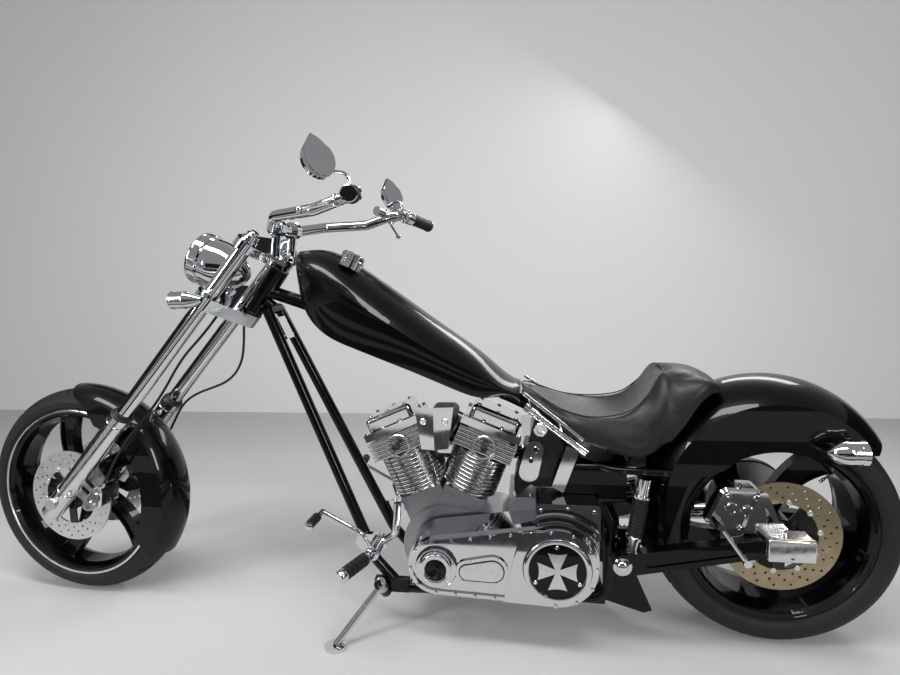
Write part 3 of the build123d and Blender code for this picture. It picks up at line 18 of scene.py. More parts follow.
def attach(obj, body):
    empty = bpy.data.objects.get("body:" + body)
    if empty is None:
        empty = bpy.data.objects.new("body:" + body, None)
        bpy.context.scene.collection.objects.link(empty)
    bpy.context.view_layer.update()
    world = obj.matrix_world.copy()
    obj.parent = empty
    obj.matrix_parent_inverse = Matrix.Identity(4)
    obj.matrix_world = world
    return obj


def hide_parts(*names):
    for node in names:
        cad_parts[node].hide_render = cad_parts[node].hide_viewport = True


bl_info = {
    "name": "Chopper Motorcycle",
    "version": (1, 0, 0),
    "blender": (4, 5, 0),
    "location": "View3D > Sidebar > Chopper",
    "description": "Finishes and small parts of a parked chopper motorcycle",
    "category": "Add Mesh",
}

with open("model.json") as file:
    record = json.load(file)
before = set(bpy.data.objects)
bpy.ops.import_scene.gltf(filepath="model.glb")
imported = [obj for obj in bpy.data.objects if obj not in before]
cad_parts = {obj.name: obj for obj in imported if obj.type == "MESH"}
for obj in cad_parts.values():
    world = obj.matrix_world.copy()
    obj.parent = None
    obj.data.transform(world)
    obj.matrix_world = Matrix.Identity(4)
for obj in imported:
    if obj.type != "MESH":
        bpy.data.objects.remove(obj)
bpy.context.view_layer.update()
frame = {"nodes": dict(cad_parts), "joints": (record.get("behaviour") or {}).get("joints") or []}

MILLIMETRE = 0.001
SIDES = (-1, 1)

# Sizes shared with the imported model, in millimetres and degrees
WHEELBASE = 2150.0
FRONT_TYRE_RADIUS = 345.0
FRONT_TYRE_WIDTH = 118.0
FRONT_RIM_RADIUS = 282.0
REAR_TYRE_RADIUS = 325.0
REAR_TYRE_WIDTH = 230.0
REAR_RIM_RADIUS = 246.0
LEG_RAKE = 42.0
STEER_RAKE = 38.0
LEG_HALF_SPACING = 115.0
SLIDER_TOP = 380.0
TUBE_TOP = 1084.0
LOWER_TREE_AT = 855.0
UPPER_TREE_AT = 1060.0
DISC_INNER = 93.0
FRONT_DISC_Y = 75.0
REAR_DISC_Y = 112.0
PIVOT = (-415.0, 262.0)
CRANK = (-910.0, 238.0)
CLUTCH = (-585.0, 262.0)
CYLINDER_ANGLE = 22.5
CYLINDER_FOOT = 176.0
HEAD_FOOT = 304.0
ROCKER_FOOT = 370.0
FIN_PITCH = 12.0
LAMP_AT = (-1636.0, 0.0, 1098.0)
LAMP_TILT = 22.0

# The camera, in metres and degrees
CAMERA_AT = (0.4454, -1.5851, 0.9366)
CAMERA_YAW = 8.62
CAMERA_DOWN = 3.07
CAMERA_ROLL = 1.09
FOCAL_PIXELS = 554.09
PHOTO_WIDTH = 900
SENSOR_WIDTH = 36.0


def joint(name):
    """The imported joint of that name."""
    return next(j for j in frame["joints"] if j["name"] == name)


def space(origin, across, up):
    """A space at a point in metres, from its y and z directions, drawn in millimetres."""
    y = Vector(across).normalized()
    z = (Vector(up) - y * Vector(up).dot(y)).normalized()
    x = y.cross(z)
    turn = Matrix((x, y, z)).transposed().to_4x4()
    return Matrix.Translation(origin) @ turn @ Matrix.Scale(MILLIMETRE, 4)


def tilted(at, degrees):
    """A place in a space, pitched about its y direction."""
    return Matrix.Translation(at) @ Matrix.Rotation(radians(degrees), 4, "Y")


REAR_JOINT = joint("rear_wheel_spin")
FRONT_JOINT = joint("front_wheel_spin")
REAR_WHEEL = space(REAR_JOINT["pos_m"], REAR_JOINT["axis"], (0, 0, 1))
MACHINE = REAR_WHEEL @ Matrix.Translation((0, 0, -REAR_TYRE_RADIUS))
STEER_UP = Vector(joint("steering")["axis"])
FRONT_ACROSS = Vector(FRONT_JOINT["axis"])
FORK = space(FRONT_JOINT["pos_m"], FRONT_ACROSS,
             Matrix.Rotation(radians(LEG_RAKE - STEER_RAKE), 3, FRONT_ACROSS) @ STEER_UP)
STRAIGHT = FORK @ tilted((-WHEELBASE, 0, FRONT_TYRE_RADIUS), LEG_RAKE).inverted()
FRONT_WHEEL = STRAIGHT @ Matrix.Translation((-WHEELBASE, 0, FRONT_TYRE_RADIUS))
LAMP = STRAIGHT @ tilted(LAMP_AT, LAMP_TILT)


# Colours and materials
def linear(colour):
    """A hex colour as linear red, green, blue and alpha."""
    channels = [int(colour[i:i + 2], 16) / 255 for i in (1, 3, 5)]
    return [c / 12.92 if c <= 0.04045 else ((c + 0.055) / 1.055) ** 2.4 for c in channels] + [1.0]


class ChopperFinishes(bpy.types.PropertyGroup):
    """Colours and gloss of the machine's finishes"""
    enamel_colour: FloatVectorProperty(
        name="Enamel", description="Colour of the painted tank, fenders and frame", subtype="COLOR", size=4,
        min=0, max=1, default=linear("#040303"))
    leather_colour: FloatVectorProperty(
        name="Leather", description="Colour of the seat's sides", subtype="COLOR", size=4, min=0, max=1,
        default=linear("#1b1b1d"))
    # The dished top's paler colour is painted light: the top is the same cowhide as the sides, lit from
    # above.
    painted_light_panel_colour: FloatVectorProperty(
        name="Seat panel", description="Colour of the seat's dished top",
        subtype="COLOR", size=4, min=0, max=1,
        default=linear("#2b2d29"))
    chrome_roughness: FloatProperty(
        name="Chrome roughness", description="Highest roughness of the chrome's wiped patches",
        subtype="FACTOR",
        min=0, max=1, default=0.09)


class ChopperTrim(bpy.types.PropertyGroup):
    """Sizes of the machine's small parts"""
    screw_radius: FloatProperty(
        name="Screw head", description="Radius of a cover's screw head, in millimetres",
        min=2, max=10, default=4.6)
    tread_depth: FloatProperty(
        name="Tread depth", description="Depth of the tyres' grooves, in millimetres",
        min=1, max=8, default=4.0)
    grip_ribs: IntProperty(
        name="Grip ribs", description="Ribs along a handlebar grip", min=3, max=24, default=13)
    seat_pressure: FloatProperty(
        name="Seat pressure", description="How hard the seat's foam fills its cover",
        min=0, max=12, default=4.0)


class ChopperStage(bpy.types.PropertyGroup):
    """The floor, the backdrop and the light"""
    floor_colour: FloatVectorProperty(
        name="Floor", description="Colour of the floor", subtype="COLOR", size=4, min=0, max=1,
        default=linear("#b9b9b8"))
    wall_colour: FloatVectorProperty(
        name="Backdrop", description="Colour of the backdrop", subtype="COLOR", size=4, min=0, max=1,
        default=linear("#c9cac9"))
    world_strength: FloatProperty(
        name="World light", description="Strength of the plain light all round", min=0, max=2, default=0.34)


def add_node(tree, kind, settings=None, links=None):
    """Adds a node, sets its properties or inputs, and links other nodes' outputs into it."""
    node = tree.nodes.new(kind)
    for name, value in (settings or {}).items():
        if hasattr(node, str(name)):
            setattr(node, name, value)
        else:
            node.inputs[name].default_value = value
    for name, (source, output) in (links or {}).items():
        tree.links.new(source.outputs[output], node.inputs[name])
    return node


def new_material(name, **values):
    """An empty procedural material and its tree, shader and object coordinates."""
    material = bpy.data.materials.new(name)
    material.use_nodes = True
    tree = material.node_tree
    shader = tree.nodes["Principled BSDF"]
    for key, value in values.items():
        shader.inputs[key.replace("_", " ")].default_value = value
    return material, tree, shader, add_node(tree, "ShaderNodeTexCoord")


def roughen(tree, shader, coords, size_mm, low, high, detail=3.0):
    """Lets the roughness wander between two values in patches of a real size."""
    noise = add_node(tree, "ShaderNodeTexNoise", {"Scale": 1000 / size_mm, "Detail": detail},
                     {"Vector": (coords, "Object")})
    spread = add_node(tree, "ShaderNodeMapRange",
                      {"From Min": 0.3, "From Max": 0.7, "To Min": low, "To Max": high},
                      {"Value": (noise, "Fac")})
    tree.links.new(spread.outputs["Result"], shader.inputs["Roughness"])
    return noise


def raise_by(tree, shader, source, output, height_mm, strength=1.0):
    """A bump of a real height from a node's output."""
    bump = add_node(tree, "ShaderNodeBump", {"Distance": height_mm * MILLIMETRE, "Strength": strength},
                    {"Height": (source, output)})
    tree.links.new(bump.outputs["Normal"], shader.inputs["Normal"])


def tint_by(tree, shader, source, output, first, second):
    """Mixes two colours into the base colour by a node's output."""
    mix = add_node(tree, "ShaderNodeMix", {"data_type": "RGBA"}, {"Factor": (source, output)})
    colours = [socket for socket in mix.inputs if socket.type == "RGBA"]
    colours[0].default_value = first
    colours[1].default_value = second
    result = next(socket for socket in mix.outputs if socket.type == "RGBA")
    tree.links.new(result, shader.inputs["Base Color"])


def enamel_black():
    """Two-pack enamel under clear lacquer: a deep black with a wet gloss and faint orange peel."""
    material, tree, shader, coords = new_material(
        "enamel_black", Base_Color=bpy.context.scene.chopper_finishes.enamel_colour, Roughness=0.3,
        Specular_IOR_Level=0.1, Coat_Weight=0.5, Coat_Roughness=0.02, Coat_IOR=1.45)
    peel = add_node(tree, "ShaderNodeTexNoise", {"Scale": 1000 / 9.0, "Detail": 1.0},
                    {"Vector": (coords, "Object")})
    raise_by(tree, shader, peel, "Fac", 0.02, 0.2)
    return material


def powder_black():
    """Powder-coated steel or alloy: a softer black gloss with a fine pebbled skin."""
    material, tree, shader, coords = new_material(
        "powder_coat_black", Base_Color=linear("#0b0b0d"), Specular_IOR_Level=0.3, Coat_Weight=0.4,
        Coat_Roughness=0.12)
    noise = roughen(tree, shader, coords, 4.0, 0.24, 0.36)
    raise_by(tree, shader, noise, "Fac", 0.02, 0.3)
    return material


def chrome_plate():
    """Chromium plate on polished steel: a bright mirror with faint wipe marks."""
    material, tree, shader, coords = new_material(
        "chrome_plate", Base_Color=linear("#dcdee1"), Metallic=1.0)
    roughen(tree, shader, coords, 35.0, 0.03, bpy.context.scene.chopper_finishes.chrome_roughness)
    return material


def polished_aluminium():
    """Buffed aluminium: nearly a mirror, with a soft haze from the buffing wheel."""
    material, tree, shader, coords = new_material(
        "aluminium_polished", Base_Color=linear("#e2e2e3"), Metallic=1.0)
    noise = roughen(tree, shader, coords, 14.0, 0.13, 0.26)
    raise_by(tree, shader, noise, "Fac", 0.03, 0.2)
    return material


def cast_aluminium():
    """Cast aluminium with its fins' edges cleaned bright: grey, with a fine grain."""
    material, tree, shader, coords = new_material(
        "aluminium_cast", Base_Color=linear("#a3a5a8"), Metallic=1.0)
    noise = roughen(tree, shader, coords, 2.5, 0.24, 0.42, 6.0)
    raise_by(tree, shader, noise, "Fac", 0.1, 0.25)
    return material


def steel_ground():
    """Ground stainless steel of a brake disc: pale, with a faint swirl of wear."""
    material, tree, shader, coords = new_material(
        "stainless_ground", Base_Color=linear("#e9e8e6"), Metallic=1.0)
    roughen(tree, shader, coords, 22.0, 0.32, 0.42, 2.0)
    return material


def steel_heated():
    """Disc steel that has run hot: straw and bronze stains over the ground face."""
    material, tree, shader, coords = new_material("stainless_heated", Metallic=1.0)
    noise = roughen(tree, shader, coords, 26.0, 0.26, 0.38, 2.0)
    tint_by(tree, shader, noise, "Fac", linear("#bcae95"), linear("#9c8b6d"))
    return material


def tyre_rubber():
    """Vulcanised carbon-black rubber: dull, brownish grey where it has met the road."""
    material, tree, shader, coords = new_material("rubber_tyre", Specular_IOR_Level=0.35)
    noise = roughen(tree, shader, coords, 6.0, 0.5, 0.72, 5.0)
    dust = add_node(tree, "ShaderNodeTexNoise", {"Scale": 1000 / 90.0, "Detail": 4.0},
                    {"Vector": (coords, "Object")})
    tint_by(tree, shader, dust, "Fac", linear("#141212"), linear("#26211f"))
    raise_by(tree, shader, noise, "Fac", 0.1, 0.4)
    return material


def moulded_rubber():
    """Moulded rubber of grips, pegs, hoses and the drive belt."""
    material, tree, shader, coords = new_material("rubber_moulded", Base_Color=linear("#111111"))
    noise = roughen(tree, shader, coords, 3.0, 0.42, 0.58)
    raise_by(tree, shader, noise, "Fac", 0.08, 0.3)
    return material


def leather(name, colour, sheen):
    """Tanned cowhide over foam: pebbled, with fine creases and a worn sheen."""
    material, tree, shader, coords = new_material(
        name, Base_Color=colour, Specular_IOR_Level=0.4, Sheen_Weight=sheen)
    grain = add_node(tree, "ShaderNodeTexVoronoi", {"Scale": 1000 / 2.4, "feature": "SMOOTH_F1"},
                     {"Vector": (coords, "Object")})
    crease = add_node(tree, "ShaderNodeTexNoise", {"Scale": 1000 / 24.0, "Detail": 5.0, "Distortion": 1.4},
                      {"Vector": (coords, "Object")})
    both = add_node(tree, "ShaderNodeMath", {"operation": "MULTIPLY_ADD"}, {0: (grain, "Distance")})
    both.inputs[1].default_value = 0.4
    tree.links.new(crease.outputs["Fac"], both.inputs[2])
    raise_by(tree, shader, both, 0, 0.6, 0.55)
    spread = add_node(tree, "ShaderNodeMapRange",
                      {"From Min": 0.3, "From Max": 0.7, "To Min": 0.36, "To Max": 0.55},
                      {"Value": (crease, "Fac")})
    tree.links.new(spread.outputs["Result"], shader.inputs["Roughness"])
    return material


def seat_leather():
    """The black cowhide of the seat's sides."""
    return leather("leather_black", bpy.context.scene.chopper_finishes.leather_colour, 0.0)


def painted_light_panel_leather():
    """The seat's dished top: the sides' cowhide painted paler, as painted light where the top faces up."""
    return leather("leather_painted_light", bpy.context.scene.chopper_finishes.painted_light_panel_colour, 0.15)


def lamp_glass():
    """Pressed lamp glass, clear with a faint grey."""
    material, tree, shader, coords = new_material(
        "glass_lamp", Base_Color=linear("#f2f4f5"), Transmission_Weight=1.0, IOR=1.5, Roughness=0.03)
    haze = add_node(tree, "ShaderNodeTexNoise", {"Scale": 1000 / 30.0}, {"Vector": (coords, "Object")})
    raise_by(tree, shader, haze, "Fac", 0.1, 0.2)
    return material


def acrylic(name, colour):
    """Moulded acrylic with the fine ribs of a lens."""
    material, tree, shader, coords = new_material(
        name, Base_Color=colour, Transmission_Weight=0.3, IOR=1.49, Roughness=0.08)
    ribs = add_node(tree, "ShaderNodeTexVoronoi", {"Scale": 1000 / 6.0}, {"Vector": (coords, "Object")})
    raise_by(tree, shader, ribs, "Distance", 0.4, 0.3)
    return material


def lens_red():
    """The red acrylic of the tail lamps."""
    return acrylic("acrylic_red", linear("#6e0d10"))


def lens_amber():
    """The amber acrylic of the signals."""
    return acrylic("acrylic_amber", linear("#b8651a"))


def plug_ceramic():
    """Glazed white ceramic of a spark plug."""
    material, tree, shader, coords = new_material("ceramic_glazed", Base_Color=linear("#dcdad4"))
    roughen(tree, shader, coords, 8.0, 0.12, 0.2)
    return material


# finish: the function that makes it, and the record's material slot
MAKERS = {
    "enamel": (enamel_black, "black_gloss"),
    "powder": (powder_black, "black_satin"),
    "chrome": (chrome_plate, "chrome"),
    "polished": (polished_aluminium, "polished"),
    "cast": (cast_aluminium, "cast"),
    "steel": (steel_ground, "steel"),
    "heated": (steel_heated, "steel"),
    "tyre": (tyre_rubber, "tyre"),
    "rubber": (moulded_rubber, "rubber"),
    "leather": (seat_leather, "seat"),
    # panel: painted light, the seat top's cowhide painted paler than its sides
    "panel": (painted_light_panel_leather, "seat"),
    "glass": (lamp_glass, "lens_clear"),
    "red": (lens_red, "lens_red"),
    "amber": (lens_amber, "lens_red"),
    "ceramic": (plug_ceramic, "lens_clear"),
}
made = {}


def finish(name):
    """The material of that finish, made the first time it is asked for."""
    if name not in made:
        made[name] = MAKERS[name][0]()
    return made[name]


# finish: the CAD nodes that stay in view with it
NODE_FINISHES = {
    "enamel": ("frame_backbone", "frame_downtubes", "frame_lower_rails", "swingarm", "fuel_tank", "oil_tank",
               "rear_fender", "front_fender", "front_rim", "rear_rim"),
    "powder": ("front_disc_carriers", "rear_disc_carrier"),
    "polished": ("cylinders", "fork_sliders", "front_calipers", "axle_boxes"),
    "cast": ("crankcase", "transmission"),
    "steel": ("front_discs", "front_axle", "rear_axle", "front_pulley", "rear_pulley"),
    "heated": ("rear_disc",),
    "tyre": ("front_tyre", "rear_tyre"),
    "rubber": ("drive_belt", "grips", "left_brake_hose", "right_brake_hose"),
    "leather": ("seat",),
    "glass": ("headlight_lens",),
    "red": ("rear_lamp_lenses",),
}


def dress_nodes():
    """Gives every CAD node its finish: chrome where the table names no other."""
    finish_of = {node: name for name, nodes in NODE_FINISHES.items() for node in nodes}
    for name, node in frame["nodes"].items():
        node.data.materials.clear()
        node.data.materials.append(finish(finish_of.get(name, "chrome")))


# Shapes, drawn in millimetres
def aim(at, direction):
    """A place at a point whose z runs along a direction."""
    return Matrix.Translation(at) @ Vector(direction).to_track_quat("Z", "Y").to_matrix().to_4x4()


def add_stud(bm, at, direction, radius, height, sides=6, taper=0.9):
    """A screw's or bolt's head, or a plain pin, that stands on a surface."""
    direction = Vector(direction).normalized()
    bmesh.ops.create_cone(bm, cap_ends=True, segments=sides, radius1=radius, radius2=radius * taper,
                          depth=height, matrix=aim(Vector(at) + direction * height / 2, direction))


def add_bar(bm, start, end, radius, sides=14):
    """A round bar between two points."""
    run = Vector(end) - Vector(start)
    add_stud(bm, start, run, radius, run.length, sides, 1.0)


def add_turned(bm, at, axis, profile, steps=32, ring=False):
    """A profile of (along, radius) points spun round an axis through a point; a ring's closes on itself."""
    place = aim(at, axis)
    points = [bm.verts.new(place @ Vector((radius, 0, along))) for along, radius in profile]
    edges = [bm.edges.new(pair) for pair in zip(points, points[1:])]
    if ring:
        edges.append(bm.edges.new((points[-1], points[0])))
    bmesh.ops.spin(bm, geom=points + edges, cent=Vector(at), axis=Vector(axis).normalized(), angle=2 * pi,
                   steps=steps, use_merge=True)


def add_band(bm, at, axis, inner, outer, width, steps=32, round_edge=0.0):
    """A plain ring from a point along an axis, with its outer edges broken."""
    edge = round_edge or min(width, outer - inner) * 0.2
    add_turned(bm, at, axis, [(0, inner), (0, outer - edge), (edge, outer), (width - edge, outer),
                              (width, outer - edge), (width, inner)], steps, ring=True)


def add_screw(bm, at, out, head, socket=(), sides=14):
    """A screw's head on a surface.

    head is its radius, the height of its side, its height and its top's radius, and for a domed one
    the height of its middle; socket is its mouth's radius, its floor's height and the floor's radius.
    """
    radius, side, height, top, *dome = head
    profile = [(0, 0), (0, radius), (side, radius), (height, top)]
    if socket:
        mouth, floor, foot = socket
        profile += [(height, mouth), (floor, foot), (floor, 0)]
    else:
        profile.append((dome[0] if dome else height, 0))
    add_turned(bm, at, out, profile, sides)

def ribs(first, pitch, count, low, high, rise, fall, foot):
    """A profile of even ribs, from how far after its start each has risen, falls and ends."""
    profile = []
    for k in range(count):
        start = first + k * pitch
        profile += [(start, low), (start + rise, high), (start + fall, high), (start + foot, low)]
    return profile

def add_hull(bm, circles, y0, y1, steps=24):
    """A plate whose outline wraps circles (x, z, radius), from y0 to y1."""
    points = []
    for x, z, radius in circles:
        for y in (y0, y1):
            for k in range(steps):
                turn = 2 * pi * k / steps
                points.append(bm.verts.new((x + radius * cos(turn), y, z + radius * sin(turn))))
    result = bmesh.ops.convex_hull(bm, input=points)
    inside = result["geom_interior"] + result["geom_unused"]
    spare = {item for item in inside if isinstance(item, bmesh.types.BMVert)}
    bmesh.ops.delete(bm, geom=list(spare), context="VERTS")


def add_block(bm, low, high, place=None):
    """A block between two corners."""
    low, high = Vector(low), Vector(high)
    sizes = Matrix.Diagonal((*(high - low), 1.0))
    middle = Matrix.Translation((low + high) / 2)
    bmesh.ops.create_cube(bm, size=1.0, matrix=(place or Matrix()) @ middle @ sizes)


def add_soft_block(bm, low, high, edge):
    """A block with its edges rounded."""
    before = set(bm.edges)
    add_block(bm, low, high)
    edges = [e for e in bm.edges if e not in before]
    bmesh.ops.bevel(bm, geom=edges, offset=edge, segments=3, profile=0.5, affect="EDGES", material=-1)


def polar(radius, degrees, y=0.0):
    """A point round the y direction, its angle up from the rear."""
    return Vector((radius * cos(radians(degrees)), y, radius * sin(radians(degrees))))


def add_to_scene(obj):
    """Links an object into the scene."""
    bpy.context.scene.collection.objects.link(obj)
    return obj


def set_down(name, bm, place, body, finish_name, crease=35):
    """Sets a shape down in the frame as a piece of one finish that rides on a body."""
    bmesh.ops.remove_doubles(bm, verts=bm.verts, dist=0.01)
    bmesh.ops.dissolve_degenerate(bm, edges=bm.edges, dist=0.005)
    bmesh.ops.recalc_face_normals(bm, faces=bm.faces)
    bmesh.ops.transform(bm, matrix=place, verts=bm.verts)
    mesh = bpy.data.meshes.new(name)
    bm.to_mesh(mesh)
    bm.free()
    mesh.materials.append(finish(finish_name))
    mesh.shade_smooth()
    mesh.set_sharp_from_angle(angle=radians(crease))
    piece = add_to_scene(bpy.data.objects.new(name, mesh))
    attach(piece, body)
    return piece


def arc_through(start, middle, end, count):
    """Points along the arc through three points in a plane, the first left out."""
    ax, ay = start
    bx, by = middle
    cx, cy = end
    d = 2 * (ax * (by - cy) + bx * (cy - ay) + cx * (ay - by))
    a, b, c = (x * x + y * y for x, y in (start, middle, end))
    ux = (a * (by - cy) + b * (cy - ay) + c * (ay - by)) / d
    uy = (a * (cx - bx) + b * (ax - cx) + c * (bx - ax)) / d
    radius = hypot(ax - ux, ay - uy)
    first, mid, last = (atan2(y - uy, x - ux) for x, y in (start, middle, end))
    sweep = (last - first) % (2 * pi)
    if (mid - first) % (2 * pi) > sweep:
        sweep -= 2 * pi
    return [(ux + radius * cos(first + sweep * k / count), uy + radius * sin(first + sweep * k / count))
            for k in range(1, count + 1)]


# Tyres
TYRE_STEPS = 120
CROWN_STRIPS = 16


def tyre_profile(radius, width, rim_radius):
    """Half of a tyre's section as (across, radius) points: its wall from the bead up, then its crown."""
    half = width / 2
    shoulder = radius - (radius - rim_radius) * (0.30 if width < 2 * (radius - rim_radius) else 0.22)
    wide = (rim_radius + shoulder) / 2
    foot, edge = half * 0.84, half * 0.80
    wall = [(foot, rim_radius - 8), (foot, rim_radius)]
    wall += arc_through((foot, rim_radius), (half, wide), (edge, shoulder), 12)
    crown = arc_through((edge, shoulder), (0, radius), (-edge, shoulder), CROWN_STRIPS)
    return wall, crown


def add_tyre(name, place, body, node, sizes, slant):
    """A tyre with a rib on each wall and slanted grooves across its crown."""
    wall, crown = tyre_profile(*sizes)
    rim_radius = sizes[2]
    ribbed = []
    for k, (across, radius) in enumerate(wall):
        lift = 1.6 if k in (4, 11) else 0.0
        ribbed.append((across - 0.6 + lift, radius))
    section = ribbed + crown[:-1] + [(-across, radius) for across, radius in reversed(ribbed)]
    bm = bmesh.new()
    add_turned(bm, (0, 0, 0), (0, 1, 0), section, TYRE_STEPS, ring=True)
    bmesh.ops.remove_doubles(bm, verts=bm.verts, dist=0.01)
    bmesh.ops.recalc_face_normals(bm, faces=bm.faces)
    reach = abs(crown[0][0])
    grooves = []
    for face in bm.faces:
        middle = face.calc_center_median()
        around = int(atan2(middle.x, middle.z) / (2 * pi) * TYRE_STEPS + TYRE_STEPS)
        across = abs(middle.y) / reach
        on_crown = hypot(middle.x, middle.z) > rim_radius + (sizes[0] - rim_radius) * 0.72 and across < 0.97
        side = 0 if middle.y > 0 else 3
        if on_crown and 0.1 < across and (around + side) % 6 == 0:
            grooves.append(face)
    for vert in bm.verts:
        turn = Matrix.Rotation(slant * abs(vert.co.y) / reach, 3, "Y")
        vert.co = turn @ vert.co
    depth = bpy.context.scene.chopper_trim.tread_depth
    bmesh.ops.inset_region(bm, faces=grooves, thickness=1.0, depth=-depth, use_even_offset=True)
    piece = set_down(name, bm, place, body, "tyre", 40)
    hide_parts(node)


class CHOPPER_OT_tyres(bpy.types.Operator):
    """Adds both tyres with their grooved crowns"""
    bl_idname = "chopper.tyres"
    bl_label = "Tyres"

    def execute(self, context):
        add_tyre("front_tyre_grooved", FRONT_WHEEL, "front_wheel", "front_tyre",
                 (FRONT_TYRE_RADIUS, FRONT_TYRE_WIDTH, FRONT_RIM_RADIUS), 0.10)
        add_tyre("rear_tyre_grooved", REAR_WHEEL, "rear_wheel", "rear_tyre",
                 (REAR_TYRE_RADIUS, REAR_TYRE_WIDTH, REAR_RIM_RADIUS), 0.22)
        return {"FINISHED"}


# wheel: its space, tyre width, rim radius, disc planes, angle of the valve, finish of the rim's lips
WHEELS = {
    "front": (FRONT_WHEEL, FRONT_TYRE_WIDTH, FRONT_RIM_RADIUS, (-FRONT_DISC_Y, FRONT_DISC_Y), 62.0,
              "polished"),
    "rear": (REAR_WHEEL, REAR_TYRE_WIDTH, REAR_RIM_RADIUS, (-REAR_DISC_Y,), 38.0, "enamel"),
}


class CHOPPER_OT_wheel_trim(bpy.types.Operator):
    """Adds the rims' lips, polished in front and enamel behind, the discs' rivets and the tyre valves"""
    bl_idname = "chopper.wheel_trim"
    bl_label = "Wheel Trim"

    def execute(self, context):
        for name, (place, width, rim_radius, discs, valve, lip_finish) in WHEELS.items():
            body = name + "_wheel"
            lips = bmesh.new()
            lip = width / 2 * 0.84 + 5
            for side in SIDES:
                add_turned(lips, (0, side * (lip - 3), 0), (0, side, 0),
                           [(0, rim_radius + 0.6), (3.6, rim_radius + 0.6), (4.4, rim_radius - 1),
                            (4.4, rim_radius - 6), (3.1, rim_radius - 7)], 96, ring=True)
            set_down(name + "_rim_lips", lips, place, body, lip_finish)
            rivets = bmesh.new()
            for y in discs:
                side = 1 if y > 0 else -1
                for k in range(10):
                    at = polar(DISC_INNER + 3, 36 * k + 9, y + side * 2.4)
                    add_screw(rivets, at, (0, side, 0), (7.5, 2.2, 3.0, 6.5), (3.4, 1.6, 3.0))
            set_down(name + "_disc_rivets", rivets, place, body, "steel")
            valve_piece = bmesh.new()
            well = rim_radius - 30
            add_bar(valve_piece, polar(well, valve), polar(well - 34, valve), 3.2, 10)
            add_bar(valve_piece, polar(well - 22, valve), polar(well - 38, valve), 4.6, 10)
            set_down(name + "_valve", valve_piece, place, body, "chrome")
        return {"FINISHED"}


# Fork and front end
class CHOPPER_OT_fork_trim(bpy.types.Operator):
    """Adds the fork's dust seals, its top caps and the clamps' screws"""
    bl_idname = "chopper.fork_trim"
    bl_label = "Fork Trim"

    def execute(self, context):
        seals, bright, screws = bmesh.new(), bmesh.new(), bmesh.new()
        for side in SIDES:
            y = side * LEG_HALF_SPACING
            add_turned(seals, (0, y, SLIDER_TOP), (0, 0, 1),
                       [(0, 24), (0, 32), (5, 32), (7, 29.5), (13, 28), (17, 24.2)], 32, ring=True)
            add_band(bright, (0, y, SLIDER_TOP - 34), (0, 0, 1), 31, 33, 5)
            add_band(bright, (0, y, 40), (0, 0, 1), 31, 33.2, 7)
            add_turned(bright, (0, y, TUBE_TOP + 10), (0, 0, 1), [
                (0, 0), (0, 19.5), (2.5, 19.5), (4, 18), (4, 12.5), (12, 12.5), (13.5, 11), (13.5, 0)], 32)
            for up, radius in ((LOWER_TREE_AT, 37), (UPPER_TREE_AT, 34)):
                for z in ((-11, 11) if up == LOWER_TREE_AT else (0,)):
                    add_screw(screws, (-radius + 6, y - side * 16, up + z), (-1, 0, 0), (6.2, 9, 10, 5.4),
                              (3.2, 6, 2.8), 16)
            add_screw(screws, (0, y + side * 30.5, -4), (0, side, 0), (15, 5, 7, 13), (7.5, 3, 7.2), 24)
            for up in (-26, 26):
                add_screw(screws, (-30, y, up), (-1, 0, 0), (5.4, 4, 5, 4.6))
            add_screw(screws, (22, y + side * 26, 66), (1, side * 0.6, 0), (6, 8, 9, 5), sides=12)
        stem_x = 85 - (UPPER_TREE_AT - LOWER_TREE_AT) * tan(radians(LEG_RAKE - STEER_RAKE))
        add_turned(bright, (stem_x, 0, UPPER_TREE_AT + 13.5), (-0.07, 0, 1),
                   [(0, 0), (0, 23), (3, 23), (4, 21), (10, 20), (15, 15), (18, 8), (18.5, 0)], 32)
        set_down("fork_seals", seals, FORK, "fork", "rubber")
        set_down("fork_caps", bright, FORK, "fork", "chrome")
        set_down("fork_screws", screws, FORK, "fork", "chrome")
        return {"FINISHED"}


class CHOPPER_OT_headlight(bpy.types.Operator):
    """Adds the headlight's reflector, bulb, glass and rim"""
    bl_idname = "chopper.headlight"
    bl_label = "Headlight"

    def execute(self, context):
        bowl = bmesh.new()
        add_turned(bowl, (-8, 0, 0), (-1, 0, 0), [
            (0.2, 0), (0.4, 16), (2, 30), (5.5, 46), (10.5, 60), (15, 69.5), (13, 70.5), (0, 60), (0, 0)], 64)
        set_down("headlight_reflector", bowl, LAMP, "fork", "chrome", 60)
        bulb = bmesh.new()
        add_turned(bulb, (-8.5, 0, 0), (-1, 0, 0),
                   [(0, 0), (0, 10), (3, 10), (4, 7), (9, 7), (11, 5.5), (12, 0)], 24)
        set_down("headlight_bulb", bulb, LAMP, "fork", "polished")
        glass = bmesh.new()
        outer = [(9.5, 70.6), (12, 70.6), (16, 60), (19, 44), (20.8, 26), (21.6, 10), (21.8, 0)]
        inner = [(19.3, 0), (19.1, 10), (18.3, 26), (16.4, 44), (13.4, 60), (10.4, 68), (9.5, 68.5)]
        add_turned(glass, (-8, 0, 0), (-1, 0, 0), outer + inner, 64)
        piece = set_down("headlight_glass", glass, LAMP, "fork", "glass", 50)
        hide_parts("headlight_lens")
        rim = bmesh.new()
        add_turned(rim, (-22, 0, 0), (-1, 0, 0), [
            (0, 76), (0, 82.4), (4, 82.4), (7, 80.5), (8.5, 77), (8, 73), (4.5, 70.4), (0, 70.8)], 72,
            ring=True)
        add_band(rim, (4, 0, 0), (-1, 0, 0), 76, 82.2, 7, 72)
        add_screw(rim, (18, 0, -81), (0, 0, -1), (5, 4, 5, 4))
        set_down("headlight_rim", rim, LAMP, "fork", "chrome")
        return {"FINISHED"}


